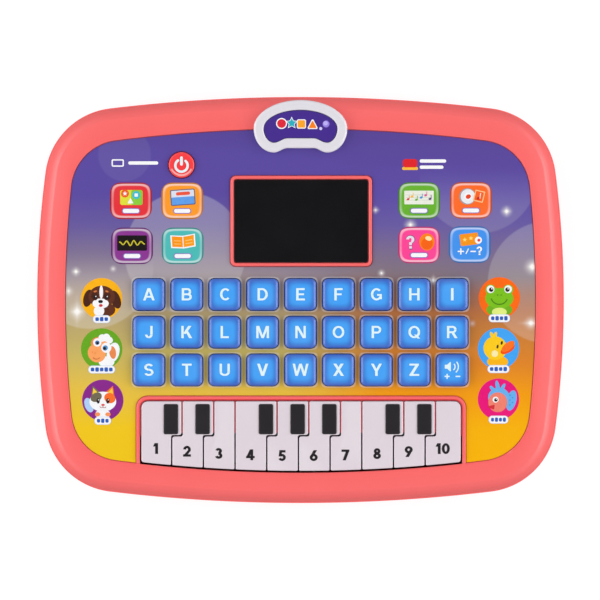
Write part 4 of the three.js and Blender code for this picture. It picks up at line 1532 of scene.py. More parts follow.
@dataclass
class Film:
    """The printed film that fills the pocket of the front."""

    layout: Layout
    glows: tuple[Glow, ...] = (
        Glow(-52.5, 21.5, 27.5, 0.15),
        Glow(-95.5, 15.5, 28.6, 0.17, 0.5, 22.0),
        Glow(81.0, 57.0, 26.7, 0.07, 0.5, 62.0),
        Glow(113.0, 8.0, 27.8, 0.12),
        Glow(-80.0, 66.0, 12.0, 0.025),
    )
    flares: tuple[Flare, ...] = (
        Flare(-102.1, 12.9, 1.5, 3.0, 3.0, 0.7),
        Flare(-85.2, 14.2, 1.1, 0.0, 0.0, 0.7),
        Flare(-101.6, -5.3, 2.8, 6.0, 10.0, 0.75),
        Flare(-105.4, 4.0, 1.6, 0.0, 5.0, 0.6),
        Flare(93.7, 40.3, 1.8, 3.5, 3.5, 0.7),
        Flare(50.0, 34.2, 2.0, 4.0, 3.0, 0.6),
        Flare(105.4, 15.1, 2.6, 4.0, 4.0, 0.8),
        Flare(60.4, 8.9, 1.4, 2.0, 4.0, 0.7),
        Flare(36.8, 12.2, 1.3, 2.0, 2.0, 0.6),
        Flare(78.1, -10.7, 1.2, 0.0, 0.0, 0.4),
        Flare(104.8, -10.5, 2.2, 8.0, 3.0, 0.75),
        Flare(34.1, 40.9, 1.2, 3.0, 3.0, 0.5),
    )

    def build(self, palette: Palette) -> None:
        """Makes the film piece.

        Args:
            palette: the toy's materials.
        """
        lay = self.layout
        round_bead = 2 * lay.gap + lay.screen_bead_w
        holes = [*lay.field_holes(), lay.window_edge(round_bead, lay.window_r + lay.screen_bead_w)]
        first, last = node_middle("key_a"), node_middle("key_volume")
        x, y, _ = (first + last) / 2
        pitch_x = (last - first)[0] / (KeyField.columns - 1)
        pitch_y = (first - last)[1] / (KeyField.rows - 1)
        keys = KeyField(x, y, pitch_x, pitch_y, lay.key_size() / 2 + lay.fit)
        finish = PrintedFilm("film_print", keys, self.glows, self.flares)
        form = plate(self.outline(), holes, float(lay.film_low[2]), lay.film_top)
        make_piece(
            "film", form, palette.use(finish), Body.CASING.value, ["graphic_overlay"]
        )

    def outline(self) -> Array:
        """The film's edge with the piano's bead cut out of its lower side.

        Returns:
            The outline, counter-clockwise.
        """
        lay = self.layout
        whole = lay.film.outline()
        cut = lay.piano_arch(lay.bead_w + lay.gap)
        x0, x1 = cut[-1, 0], cut[0, 0]
        below = (whole[:, 1] < 0) & (whole[:, 0] > x0) & (whole[:, 0] < x1)
        inside = np.nonzero(below)[0]
        around = np.vstack([whole[inside[-1] + 1 :], whole[: inside[0]]])
        left = np.array([[x0, float(lay.film.foot(x0))]])
        right = np.array([[x1, float(lay.film.foot(x1))]])
        return np.vstack([around, left, cut[::-1], right])


# --- letters


@dataclass(frozen=True)
class Lettering:
    """Plain bold capitals and figures, each put together from bars, slants and bands.

    Sizes are shares of the cap height. A bar is B(x0, y0, x1, y1). A slant is
    S(foot x0, foot x1, head x0, head x1, y0, y1). A band is an elliptical arc
    A(cx, cy, rx, ry, from, to) in degrees, one stroke wide towards its inside.
    """

    stem: float = 0.21
    bar: float = 0.17
    space: float = 0.12

    SHAPES: ClassVar[dict[str, str]] = {
        "A": "S 0 .22 .36 .58 0 1;S .74 .96 .38 .60 0 1;B .2 .22 .76 .38",
        "B": "B 0 0 .21 1;B .1 .83 .5 1;B .1 .42 .52 .58;B .1 0 .52 .17;"
        "A .48 .705 .3 .295 -90 90;A .5 .29 .33 .29 -90 90",
        "C": "A .44 .5 .44 .5 42 318",
        "D": "B 0 0 .21 1;B .1 .83 .4 1;B .1 0 .4 .17;A .38 .5 .46 .5 -90 90",
        "E": "B 0 0 .21 1;B .1 .83 .7 1;B .1 .42 .65 .58;B .1 0 .72 .17",
        "F": "B 0 0 .21 1;B .1 .83 .68 1;B .1 .42 .6 .58",
        "G": "A .46 .5 .46 .5 42 330;B .5 .37 .9 .53;B .71 .1 .9 .45",
        "H": "B 0 0 .21 1;B .65 0 .86 1;B .1 .42 .75 .58",
        "I": "B 0 0 .22 1",
        "J": "B .42 .3 .63 1;A .315 .3 .315 .3 180 360",
        "K": "B 0 0 .21 1;S .12 .38 .56 .84 .34 1;S .63 .9 .28 .52 0 .64",
        "L": "B 0 0 .21 1;B .1 0 .68 .17",
        "M": "B 0 0 .2 1;B .84 0 1.04 1;S .42 .62 .02 .26 0 1;S .42 .62 .78 1.02 0 1",
        "N": "B 0 0 .2 1;B .66 0 .86 1;S .6 .84 .02 .26 0 1",
        "O": "A .48 .5 .48 .5 0 360",
        "P": "B 0 0 .21 1;B .1 .83 .48 1;B .1 .37 .48 .54;A .46 .685 .33 .315 -90 90",
        "Q": "A .48 .5 .48 .5 0 360;S .74 .98 .44 .66 -.03 .3",
        "R": "B 0 0 .21 1;B .1 .83 .48 1;B .1 .4 .48 .57;A .46 .7 .33 .3 -90 90;"
        "S .62 .88 .34 .58 0 .48",
        "S": "A .38 .71 .37 .29 22 270;A .38 .295 .39 .295 -158 90",
        "T": "B .29 0 .51 1;B 0 .83 .8 1",
        "U": "B 0 .32 .21 1;B .63 .32 .84 1;A .42 .32 .42 .32 180 360",
        "V": "S .34 .58 0 .24 0 1;S .34 .58 .68 .92 0 1",
        "W": "S .23 .44 0 .21 0 1;S .23 .44 .54 .76 0 1;"
        "S .86 1.07 .54 .76 0 1;S .86 1.07 1.09 1.3 0 1",
        "X": "S 0 .26 .62 .88 0 1;S .64 .9 .02 .28 0 1",
        "Y": "B .35 0 .57 .46;S .35 .57 0 .25 .38 1;S .35 .57 .67 .92 .38 1",
        "Z": "B 0 .83 .78 1;B 0 0 .8 .17;S 0 .27 .51 .78 .1 .9",
        "0": "A .36 .5 .36 .5 0 360",
        "1": "B .2 0 .42 1;S 0 .22 .14 .42 .72 1",
        "2": "A .35 .67 .34 .33 -35 172;B 0 0 .7 .17;S 0 .28 .44 .68 .06 .56",
        "3": "A .32 .735 .29 .265 -90 158;A .32 .28 .33 .28 -158 90",
        "4": "B .42 0 .63 1;B 0 .2 .78 .36;S 0 .22 .36 .6 .22 1",
        "5": "B .1 .83 .64 1;S .04 .24 .1 .32 .44 1;A .33 .315 .34 .315 -152 128",
        "6": "A .35 .32 .36 .32 0 360;S .0 .24 .36 .62 .36 1",
        "7": "B 0 .83 .7 1;S .12 .36 .45 .7 0 .9",
        "8": "A .34 .735 .29 .265 0 360;A .34 .28 .34 .28 0 360",
        "9": "A .35 .68 .36 .32 0 360;S .08 .34 .46 .7 0 .64",
        "?": "A .32 .7 .32 .3 -62 175;B .24 .27 .45 .5;B .24 0 .45 .18",
    }

    def outlines(
        self, text: str, height: float, x: float, y: float, grow: float = 0.0
    ) -> list[Array]:
        """Counter-clockwise outlines of a word's strokes, centred on (x, y).

        Args:
            text: signs to set in a row.
            height: cap height.
            x, y: middle of the row.
            grow: widening of every stroke's edge, as a share of the cap height.

        Returns:
            One outline per stroke.
        """
        shapes, start = [], 0.0
        for sign in text:
            parts = self.SHAPES[sign].split(";")
            strokes = [moved_in(s, -grow) for part in parts for s in self.strokes(part.split())]
            width = max(float(s[:, 0].max()) for s in strokes)
            shapes += [s + [start, 0] for s in strokes]
            start += width + self.space
        middle = np.array([(start - self.space) / 2, 0.5])
        return [(s - middle) * height + [x, y] for s in shapes]

    def strokes(self, words: list[str]) -> list[Array]:
        """The outline of one bar or slant, or the two halves of a band.

        Args:
            words: the stroke's letter and its numbers.

        Returns:
            One outline, or two for a band.
        """
        kind, v = words[0], [float(w) for w in words[1:]]
        if kind == "B":
            return [np.array([(v[0], v[1]), (v[2], v[1]), (v[2], v[3]), (v[0], v[3])])]
        if kind == "S":
            return [np.array([(v[0], v[4]), (v[1], v[4]), (v[3], v[5]), (v[2], v[5])])]
        cx, cy, rx, ry, start, end = v
        middle = (start + end) / 2
        halves = []
        for a, b in ((start, middle + 1), (middle, end)):
            t = np.radians(np.linspace(a, b, 16))
            ring = np.column_stack([np.cos(t), np.sin(t)])
            inner = ring * [rx - self.stem, ry - self.bar]
            halves.append(np.vstack([ring * [rx, ry], inner[::-1]]) + [cx, cy])
        return halves


def thin(outlines: Sequence[Array], z0: float, z1: float, rise: float = 0.003) -> Form:
    """Thin solids of several outlines, each a hair taller than the one before."""
    return joined(plate(o, [], z0, z1 + i * rise) for i, o in enumerate(outlines))


@dataclass
class LetterKeys:
    """The 27 caps: glossy squares with a sloped border and a crowned face, and their marks."""

    layout: Layout
    corner_r: float = 2.5
    slope_w: float = 1.15
    slope_h: float = 0.7
    crown: float = 0.25
    letter_h: float = 5.65
    ink: float = 0.05
    wall: float = 1.4
    roof: float = 2.35
    flange_h: float = 1.5
    waist: float = 0.2
    sunk: float = 0.4
    border: float = 0.25

    def build(self, palette: Palette) -> None:
        """Makes each cap and what is printed on it.

        Args:
            palette: the toy's materials.
        """
        for node in self.layout.key_nodes():
            low, high = node_box(node)
            x, y = (low + high)[:2] / 2
            top = float(high[2]) - self.ink - 0.02
            letter = node.removeprefix("key_")
            cap = self.cap(x, y, float(low[2]), top)
            make_piece(f"cap_{letter}", cap, palette.use(KEY_BLUE), node, [node])
            if letter == "volume":
                mark = self.volume_mark(x, y, top)
            else:
                shapes = Lettering().outlines(letter.upper(), self.letter_h, x, y + 0.1, -0.008)
                mark = thin(shapes, top - self.sunk, top + self.ink)
            make_piece(f"mark_{letter}", mark, palette.use(LETTER_WHITE), node)

    def cap(self, x: float, y: float, foot: float, top: float) -> Form:
        """A hollow cap with its flange: wall, slope, and a crown that falls by s squared.

        Args:
            x, y: its middle.
            foot, top: its lowest and highest point.

        Returns:
            The closed form, with UV from -1 to 1 across its face.
        """
        size = self.layout.key_size()
        outline = round_rect(x, y, size, size, self.corner_r)
        shoulder = top - self.crown
        foot_of_slope = shoulder - self.slope_h
        wide, clear = size + 2 * self.layout.key_flange, size - 2 * self.wall
        flange = round_rect(x, y, wide, wide, 0.9)
        inside = round_rect(x, y, clear, clear, 1.2)
        step = foot + self.flange_h
        profile = [
            (0.0, step),
            (0.0, foot_of_slope - 0.35),
            (0.05, foot_of_slope - 0.17),
            (self.waist, foot_of_slope),
            (self.waist + self.slope_w * 0.45, shoulder - self.slope_h * 0.45),
            (self.slope_w, shoulder - 0.06),
            (self.slope_w + self.border, shoulder),
        ]
        rings = [at_height(inside, top - self.roof), at_height(inside, foot)]
        rings += [at_height(flange, foot), at_height(flange, step)]
        rings += [at_height(moved_in(outline, inset), z) for inset, z in profile]
        inner = rings[-1][:, :2]
        for s in np.linspace(1, 0.06, 7)[1:]:
            rings.append(at_height((inner - [x, y]) * s + [x, y], top - self.crown * s**2))
        form = loft(rings)
        form.uv = (form.verts[:, :2] - [x, y]) * 2 / size
        return form

    def volume_mark(self, x: float, y: float, top: float) -> Form:
        """A loudspeaker with two waves over a minus and a plus.

        Args:
            x, y: the cap's middle.
            top: height of the cap's face.

        Returns:
            The mark's form.
        """
        corners = [(-3.4, 0.6), (-2.3, 0.6), (-0.6, -0.9), (-0.6, 3.9), (-2.3, 2.4), (-3.4, 2.4)]
        cone = filleted(corners, [0.2] * len(corners), 2)
        waves = [stroke(arc(-0.6, 1.5, r, -0.8, 0.8, 10), 0.55) for r in (1.9, 3.4)]
        signs = [
            round_rect(at, -2.9, w, h, 0.2)
            for at, w, h in ((-2.3, 2.3, 0.62), (-2.3, 0.62, 2.3), (2.6, 2.2, 0.62))
        ]
        shapes = [s + [x, y] for s in (cone, *waves, *signs)]
        return thin(shapes, top - self.sunk, top + self.ink)


@dataclass
class Piano:
    """Ten ivory keys stepped round the black pads that seven of them carry."""

    layout: Layout
    seam: float = 0.65
    end_gap: float = 0.9
    pitch: float = 14.4
    step_down: float = 16.3
    step: float = 4.7
    step_r: float = 1.0
    plain: tuple[int, ...] = (3, 7)
    pad_w: float = 6.7
    pad_h: float = 13.8
    pad_in: float = 1.7
    pad_rear: float = 1.2
    pad_rise: float = 0.5
    figure_h: float = 4.65
    rib_w: float = 0.4
    rib_down: float = 0.35
    rib_h: float = 2.6
    rib_edge: float = 0.1
    wall_rib_w: float = 0.32
    wall_rib_in: float = 0.14
    depth: float = 4.9
    edge_r: float = 0.45
    below_film: float = 2.6
    tongue_h: float = 1.3
    tongue_in: float = 0.5
    tongue_lap: float = 2.0
    stop_h: float = 1.5
    figure_up: float = 6.9
    count: int = 10

    def build(self, palette: Palette) -> None:
        """Makes each key, its pad and its numeral, and the ribs between the keys, in a darker red
        as painted shade.

        Args:
            palette: the toy's materials.
        """
        for i in range(self.count):
            self.build_key(i, palette)
        # painted shade: the casing's ribs in the seams are a darker red than the coral
        material = palette.use(SEAM_SHADE_RED)
        make_piece("seam_ribs", self.ribs(), material, Body.CASING.value)

    def ribs(self) -> Form:
        """Thin ribs of the casing: one along the opening's wall and one in each seam's rear part.

        Returns:
            All ribs as one form.
        """
        lay = self.layout
        top = float(node_box("piano_key_3")[1][2]) - self.rib_down
        rear = lay.piano_top()
        wall = lay.piano_arch(-self.wall_rib_in)
        ends = [[(wall[i, 0], rear - self.step_down)] for i in (0, -1)]
        lines = [(np.vstack([ends[0], wall, ends[1]]), self.wall_rib_w)]
        y = np.linspace(rear - self.step_down + 1.4, rear - 0.1, 6)
        for i in range(1, self.count):
            x = self.seam_x(i) + (0.0 if i in self.plain else self.step)
            lines.append((np.column_stack([np.full(len(y), x), y]), self.rib_w))
        foot = top - self.rib_h
        return joined(bar(line, w, foot, top, self.rib_edge) for line, w in lines)

    def seam_x(self, i: int) -> float:
        """X of the seam before key i, in front of the step."""
        left, right = self.layout.piano_sides()
        return right if i == self.count else left + i * self.pitch

    def carries_pad(self, i: int) -> bool:
        """Whether key i has a black pad: its right seam is stepped."""
        return i < self.count - 1 and (i + 1) not in self.plain

    def edge(self, i: int, dx: float) -> tuple[list, list]:
        """One side of a key: the seam before key i, shifted by dx, from the front to the rear.

        Args:
            i: number of the key that follows the seam.
            dx: shift along x.

        Returns:
            The corners and their radii.
        """
        x = self.seam_x(i) + dx
        front, rear = self.front(x), self.rear()
        if i in (0, self.count):
            return [(x, front), (x, rear)], [1.2, 2.9]
        if i in self.plain:
            return [(x, front), (x, rear)], [0.5, 0.5]
        turn = self.layout.piano_top() - self.step_down - math.copysign(self.seam / 2, dx)
        points = [(x, front), (x, turn), (x + self.step, turn), (x + self.step, rear)]
        return points, [0.5, self.step_r, self.step_r, 0.5]

    def build_key(self, i: int, palette: Palette) -> None:
        """Makes key i with its pad and its numeral.

        Args:
            i: the key's number from the left, from 0.
            palette: the toy's materials.
        """
        node = f"piano_key_{i + 1}"
        high = node_box(node)[1]
        pad_rise = self.pad_rise if self.carries_pad(i) else 0.0
        top = float(high[2]) - pad_rise
        left, left_r = self.edge(i, self.seam if i == 0 else self.seam / 2)
        last = i == self.count - 1
        right, right_r = self.edge(i + 1, -self.seam if last else -self.seam / 2)
        middle = (left[0][0] + right[0][0]) / 2
        front = self.front(middle)
        points = [*left[::-1], (middle, front), *right]
        outline = filleted(points, [*left_r[::-1], 0.0, *right_r])
        reach = (left[-1][0] + self.tongue_in, right[-1][0] - self.tongue_in)
        body = cushion(outline, top - self.depth, top, self.edge_r)
        form = joined([body, *self.under_key(reach, (middle, front), float(high[1]))])
        make_piece(f"ivory_{i + 1}", form, palette.use(IVORY), node, [node])
        if self.carries_pad(i):
            pad_x = self.seam_x(i + 1) + self.step - self.pad_in - self.pad_w / 2
            pad_y = self.rear() - self.pad_rear - self.pad_h / 2
            edge = round_rect(pad_x, pad_y, self.pad_w, self.pad_h, 0.9)
            pad = cushion(edge, top - 0.3, top + self.pad_rise, 0.35, 0.08)
            make_piece(f"pad_{i + 1}", pad, palette.use(PAD_BLACK), node)
        y = front + self.figure_up
        shapes = Lettering().outlines(str(i + 1), self.figure_h, middle - 0.15, y, 0.03)
        figure = thin(shapes, top - 0.2, top + 0.03)
        make_piece(f"figure_{i + 1}", figure, palette.use(NUMERAL_BLACK), node)

    def under_key(
        self, reach: tuple[float, float], front: tuple[float, float], rear: float
    ) -> list[Form]:
        """The tongue behind a key and the stop under its front.

        Args:
            reach: the tongue's left and right side.
            front: middle of the key's front edge.
            rear: the tongue's rear edge.

        Returns:
            Both forms.
        """
        z = float(self.layout.film_low[2]) - self.below_film
        x0, x1, y0 = *reach, self.rear() - self.tongue_lap
        corners = np.array([(x0, y0), (x1, y0), (x1, rear), (x0, rear)])
        stop = round_rect(front[0], front[1] - 0.2, 4.0, 4.4, 0.4)
        return [plate(corners, [], z - self.tongue_h, z), cushion(stop, z - self.stop_h, z, 0.2)]

    def rear(self) -> float:
        """Y of the keys' rear edge."""
        return self.layout.piano_top() - self.seam

    def front(self, x: float) -> float:
        """Y of the keys' front edge at x."""
        return float(self.layout.film.foot(x, self.layout.fit)) + self.end_gap


# --- other front pieces


@dataclass
class Screen:
    """The dark window with a softened edge."""

    layout: Layout
    edge_r: float = 0.3

    def build(self, palette: Palette) -> None:
        """Makes the window.

        Args:
            palette: the toy's materials.
        """
        node, lay = "screen_window", self.layout
        low, high = node_box(node)
        pane = cushion(lay.window_edge(0.0, lay.window_r), low[2], high[2], self.edge_r)
        material = palette.use(WINDOW_BLACK)
        make_piece("window", pane, material, Body.CASING.value, [node])


@dataclass
class Badge:
    """The raised white badge, an arch over two lobes, with a purple plate in it."""

    layout: Layout
    waist_in: float = 14.6
    arch_h: float = 13.0
    lobe_x: float = 12.0
    lobe_h: float = 10.9
    flat_half: float = 5.9
    flat_rise: float = 2.0
    rim: float = 4.5
    round_w: float = 1.4
    round_h: float = 1.2
    lip_w: float = 0.9
    lip_h: float = 0.7
    wall_foot: float = 1.3
    thick: float = 2.2
    plate_gap: float = 0.15
    plate_top: float = 0.75
    plate_h: float = 0.95
    ink: float = 0.02

    def outline(self, inset: float) -> Array:
        """The badge's edge moved in by inset.

        Above the waist it is half an ellipse. Below it, each side is a quarter ellipse down to
        a lobe's foot, then a half cosine up to the flat middle.

        Args:
            inset: distance to move in.

        Returns:
            The outline, counter-clockwise.
        """
        half_w = node_box("badge_frame")[1][0]
        waist = self.layout.case_high[1] - self.waist_in
        lobe = waist - self.lobe_h + inset
        flat = lobe + self.flat_rise
        pi = math.pi
        arch = arc(0, 0, 1, 0, pi, 60) * [half_w - inset, self.arch_h - inset] + [0, waist]
        quarter = arc(0, 0, 1, pi, 1.5 * pi, 22)
        left = quarter * [half_w - self.lobe_x - inset, self.lobe_h - inset]
        left = left + [-self.lobe_x, waist]
        s = np.linspace(0, 1, 12)
        dip_x = -self.lobe_x + (self.lobe_x - self.flat_half) * s
        dip = np.column_stack([dip_x, lobe + (flat - lobe) * (1 - np.cos(pi * s)) / 2])
        lower = np.vstack([left, dip])
        return np.vstack([arch, lower, (lower * [-1, 1])[::-1]])

    def seat_height(self, flat: Array) -> Array:
        """Height of the front's surface under each point, near the badge.

        Args:
            flat: points in the plane.

        Returns:
            One height per point.
        """
        lay = self.layout
        case, film, front = lay.case, lay.film, FrontCasing(lay)
        down = case.end_r - np.hypot(flat[:, 0], flat[:, 1] - (case.half_h - case.end_r))
        r, sweep = front.bevel_r, math.radians(front.sweep)
        z0 = lay.parting + front.bevel_above
        cos_t = np.clip(1 - down / r, -1, 1)
        bevel = z0 + r * np.sqrt(1 - cos_t**2)
        crease = r * (1 - math.cos(sweep))
        rim_in = case.half_h - (film.half_h + film.shift_y) - lay.fit - front.crest_w
        crest_z = lay.film_top + front.crest_rise
        places = [crease, rim_in, rim_in + 0.9, rim_in + 1]
        heights = [z0 + r * math.sin(sweep), crest_z, crest_z, lay.film_top]
        return np.where(down < crease, bevel, np.interp(down, places, heights))

    def build(self, palette: Palette) -> None:
        """Makes the frame, its plate and the shapes printed on the plate.

        Args:
            palette: the toy's materials.
        """
        top = float(node_box("badge_frame")[1][2])
        casing = Body.CASING.value
        frame = loft(self.frame_rings(top), capped=False)
        material = palette.use(BADGE_WHITE)
        make_piece("badge_rim", frame, material, casing, ["badge_frame"])
        base = top - self.plate_top
        edge = self.outline(self.rim + self.plate_gap)
        Artwork(self.layout).print_on("badge_shapes", badge_row(), base, base + self.ink, palette)
        form = cushion(edge, base - self.plate_h, base, 0.35)
        material = palette.use(BADGE_PURPLE)
        make_piece("badge_plate", form, material, casing, ["badge_insert"])

    def frame_rings(self, top: float) -> list[Array]:
        """Rings of the frame, from its seat on the front, over both edges and down the inside.

        Args:
            top: height of the frame's face.

        Returns:
            Arrays of (x, y, z) rows.
        """
        edge, inner = self.outline(0.0), self.outline(self.rim)
        under = np.maximum(self.seat_height(inner) + 0.1, top - self.thick)
        return [
            at_height(edge, self.seat_height(edge) + 0.05),
            *[
                at_height(
                    self.outline(self.round_w * (1 - math.cos(t))),
                    top - self.round_h * (1 - math.sin(t)),
                )
                for t in np.linspace(0, math.pi / 2, 7)
            ],
            *[
                at_height(
                    self.outline(self.rim - self.lip_w * (1 - math.sin(t))),
                    top - self.lip_h * (1 - math.cos(t)),
                )
                for t in np.linspace(0, math.pi / 2, 5)
            ],
            at_height(inner, top - self.wall_foot),
            at_height(inner, np.minimum(under, top - self.wall_foot - 0.1)),
        ]


@dataclass
class PowerButton:
    """The red power button with its round mark and a painted pink highlight."""

    layout: Layout
    wall: float = 1.2
    roof: float = 2.0
    flange_h: float = 1.0
    edge: float = 0.7
    crown: float = 0.3
    ink: float = 0.05

    def profile(self, r: float, foot: float, top: float) -> list[tuple[float, float]]:
        """Radius and height from the hollow's ceiling, round the flange, up and over the top.

        Args:
            r: radius above the flange.
            foot, top: lowest and highest point.

        Returns:
            Pairs of radius and height.
        """
        shoulder = top - self.crown
        step = foot + self.flange_h
        turns = np.linspace(0, math.pi / 2, 6)
        edge = [
            (r - self.edge * (1 - math.cos(t)), shoulder - self.edge * (1 - math.sin(t)))
            for t in turns
        ]
        inner = r - self.edge
        dome = [(inner * s, top - self.crown * s * s) for s in np.linspace(1, 0.05, 7)[1:]]
        inside, outside = r - self.wall, r + self.layout.power_flange
        hollow = [(inside, top - self.roof), (inside, foot)]
        return [*hollow, (outside, foot), (outside, step), (r, step), *edge, *dome]

    def build(self, palette: Palette) -> None:
        """Makes the cap, the mark and a painted highlight on the cap.

        Args:
            palette: the toy's materials.
        """
        low, high = node_box("power_button")
        x, y = (low + high)[:2] / 2
        r = self.layout.power_radius()
        top = float(high[2])
        cap = revolve(x, y, self.profile(r, float(low[2]), top - self.ink))
        node = Body.POWER.value
        make_piece("power_cap", cap, palette.use(BUTTON_RED), node, [node])
        ring = stroke(arc(0, 0, 2.8, math.radians(124), math.radians(416), 40), 1.1)
        tick = stroke([(0, 0.6), (0, 3.5)], 1.3)
        mark = thin([s + [x, y - 0.3] for s in (ring, tick)], top - 0.3, top)
        make_piece("power_mark", mark, palette.use(LETTER_WHITE), node)
        # painted highlight: a pale pink crescent along the button's lower edge
        t = np.radians(np.linspace(205, 335, 30))
        lower = np.column_stack([np.cos(t), np.sin(t)])
        outer, inner = lower * (r - 0.75), lower * (r - 1.1) + [0, 0.55]
        glint = thin([np.vstack([outer, inner[::-1]]) + [x, y]], top - 0.4, top - 0.08)
        make_piece("power_glint", glint, palette.use(PAINTED_GLINT_PINK), node)


# --- printed artwork

Shape = tuple[Array, tuple[int, int, int]]
Picture = Callable[[], list[Shape]]

WHITE = (250, 250, 252)
DARK = (34, 26, 30)
LABEL_BLUE = (46, 96, 190)


def mirrored(outline: Array) -> Array:
    """An outline mirrored in x, still counter-clockwise."""
    return (outline * [-1, 1])[::-1]


def label(width: float, blocks: int, y: float) -> list[Shape]:
    """A white tag with a row of blue blocks, in place of a word.

    Args:
        width: the tag's width.
        blocks: number of blocks.
        y: height of its middle.

    Returns:
        The shapes, the lowest first.
    """
    shapes: list[Shape] = [
        (round_rect(0, y, width, 3.6, 1.7), (214, 228, 250)),
        (round_rect(0, y, width - 0.5, 3.1, 1.5), WHITE),
    ]
    pitch = (width - 1.8) / blocks
    for i in range(blocks):
        x = (i - (blocks - 1) / 2) * pitch
        shapes.append((round_rect(x, y, pitch - 0.45, 1.7 + 0.3 * (i % 2), 0.5), LABEL_BLUE))
    return shapes


def disc_ground() -> Array:
    """The round ground behind an animal."""
    return circle(0, 0, 9.4, 72)


def badge_row() -> list[Shape]:
    """A disc, a star, a square, a triangle and two bubbles, where the badge's word would be."""
    return [
        (circle(-8.6, 80.2, 2.5), WHITE),
        (circle(-8.6, 80.2, 2.0), (226, 40, 60)),
        (star(-4.0, 80.4, 2.9, 5, 0.5), WHITE),
        (star(-4.0, 80.4, 2.3, 5, 0.5), (40, 178, 196)),
        (round_rect(0.4, 80.0, 4.2, 4.2, 0.8), WHITE),
        (round_rect(0.4, 80.0, 3.4, 3.4, 0.5), (255, 168, 40)),
        (filleted([(2.9, 77.7), (8.1, 77.7), (5.5, 82.6)], [0.5] * 3), WHITE),
        (filleted([(3.6, 78.1), (7.4, 78.1), (5.5, 81.7)], [0.3] * 3), (250, 130, 20)),
        (circle(11.6, 80.0, 1.55), (150, 130, 226)),
        (circle(11.4, 80.3, 1.0), (190, 176, 246)),
        (circle(9.2, 77.9, 0.7), (214, 206, 250)),
    ]


def dog() -> list[Shape]:
    """A brown dog with hanging ears, a white blaze and a white muzzle."""
    brown, deep = (98, 48, 28), (74, 34, 20)
    return [
        (disc_ground(), (255, 182, 14)),
        (ellipse(2.6, -5.0, 3.6, 3.0), brown),
        (ellipse(-1.2, -5.6, 2.4, 2.4), WHITE),
        (ellipse(-6.2, 0.2, 2.1, 4.0, -14), deep),
        (ellipse(6.3, -0.4, 2.2, 4.3, 20), deep),
        (ellipse(0, 0.9, 6.0, 5.0), brown),
        (ellipse(-0.2, 3.0, 0.85, 3.0), WHITE),
        (ellipse(-0.5, -2.2, 3.7, 2.3), WHITE),
        (ellipse(-3.2, 1.1, 1.5, 1.9, 15), deep),
        (ellipse(2.5, 1.1, 1.5, 1.9, -15), deep),
        (circle(-2.9, 0.7, 0.8), DARK),
        (circle(2.3, 0.7, 0.8), DARK),
        (circle(-2.65, 1.0, 0.26), WHITE),
        (circle(2.55, 1.0, 0.26), WHITE),
        (ellipse(-2.9, 3.3, 0.8, 0.4, 20), (214, 120, 62)),
        (ellipse(2.4, 3.3, 0.8, 0.4, -20), (214, 120, 62)),
        (ellipse(-0.5, -1.3, 1.05, 0.75), DARK),
        (ellipse(-0.4, -3.1, 0.85, 0.65), (214, 60, 62)),
    ]


def sheep() -> list[Shape]:
    """A peach-faced sheep with white curls.

    Returns:
        The shapes, the lowest first.
    """
    peach, tan = (255, 166, 98), (240, 140, 78)
    return [
        (disc_ground(), (104, 170, 30)),
        (ellipse(5.2, -1.6, 2.8, 4.6, -16), WHITE),
        (ellipse(2.2, -5.8, 3.6, 2.5), WHITE),
        (ellipse(5.0, -1.6, 1.5, 2.9, 8), tan),
        (ellipse(-2.0, 3.0, 3.0, 2.4, 20), tan),
        (ellipse(-2.2, -1.8, 4.1, 4.3, 25), peach),
        (ellipse(0.8, 1.2, 3.2, 3.0), peach),
        (circle(0.2, 5.0, 1.7), WHITE),
        (circle(2.1, 5.2, 1.8), WHITE),
        (circle(3.6, 4.0, 1.5), WHITE),
        (circle(-2.0, 3.0, 1.9), WHITE),
        (circle(2.1, 0.6, 2.3), WHITE),
        (circle(-2.0, 2.9, 1.0), (70, 120, 180)),
        (circle(1.6, 0.5, 1.2), (80, 150, 210)),
        (circle(-1.9, 2.7, 0.6), DARK),
        (circle(1.3, 0.3, 0.7), DARK),
        (circle(-4.2, -1.4, 0.3), tan),
        (circle(-3.0, -1.8, 0.3), tan),
        (stroke(arc(-2.4, -2.6, 2.0, -2.4, -0.6, 12), 0.3), (200, 96, 52)),
    ]


def cat() -> list[Shape]:
    """A white cat with a grey and an orange patch.

    Returns:
        The shapes, the lowest first.
    """
    ear = np.array([(-5.3, 1.4), (-1.0, 3.4), (-4.6, 6.6)])
    inner = np.array([(-4.7, 2.6), (-2.4, 3.6), (-4.3, 5.6)])
    return [
        (disc_ground(), (138, 38, 140)),
        (ellipse(-6.3, -2.2, 1.9, 3.4, 20), (176, 208, 246)),
        (ear, (120, 108, 88)),
        (mirrored(ear), (252, 120, 40)),
        (inner, (250, 206, 60)),
        (mirrored(inner), (250, 206, 60)),
        (ellipse(0, -6.3, 3.4, 2.2), WHITE),
        (ellipse(0, -0.6, 6.1, 4.5), WHITE),
        (ellipse(-3.0, 1.4, 2.7, 2.0, 28), (116, 106, 84)),
        (ellipse(3.2, 1.0, 2.6, 2.3, -28), (252, 112, 40)),
        (ellipse(-2.1, -0.3, 0.75, 1.2), DARK),
        (ellipse(2.3, -0.3, 0.75, 1.2), DARK),
        (circle(-1.9, 0.2, 0.25), WHITE),
        (circle(2.5, 0.2, 0.25), WHITE),
        (ellipse(0.1, -2.1, 0.8, 0.5), (226, 84, 84)),
        (stroke(arc(-0.6, -2.7, 0.7, -2.9, -0.2, 8), 0.25), (170, 90, 90)),
        (stroke(arc(0.8, -2.7, 0.7, -2.9, -0.2, 8), 0.25), (170, 90, 90)),
        (ellipse(-2.4, -6.4, 1.2, 0.9), (250, 150, 90)),
        (ellipse(2.4, -6.4, 1.2, 0.9), (250, 150, 90)),
    ]


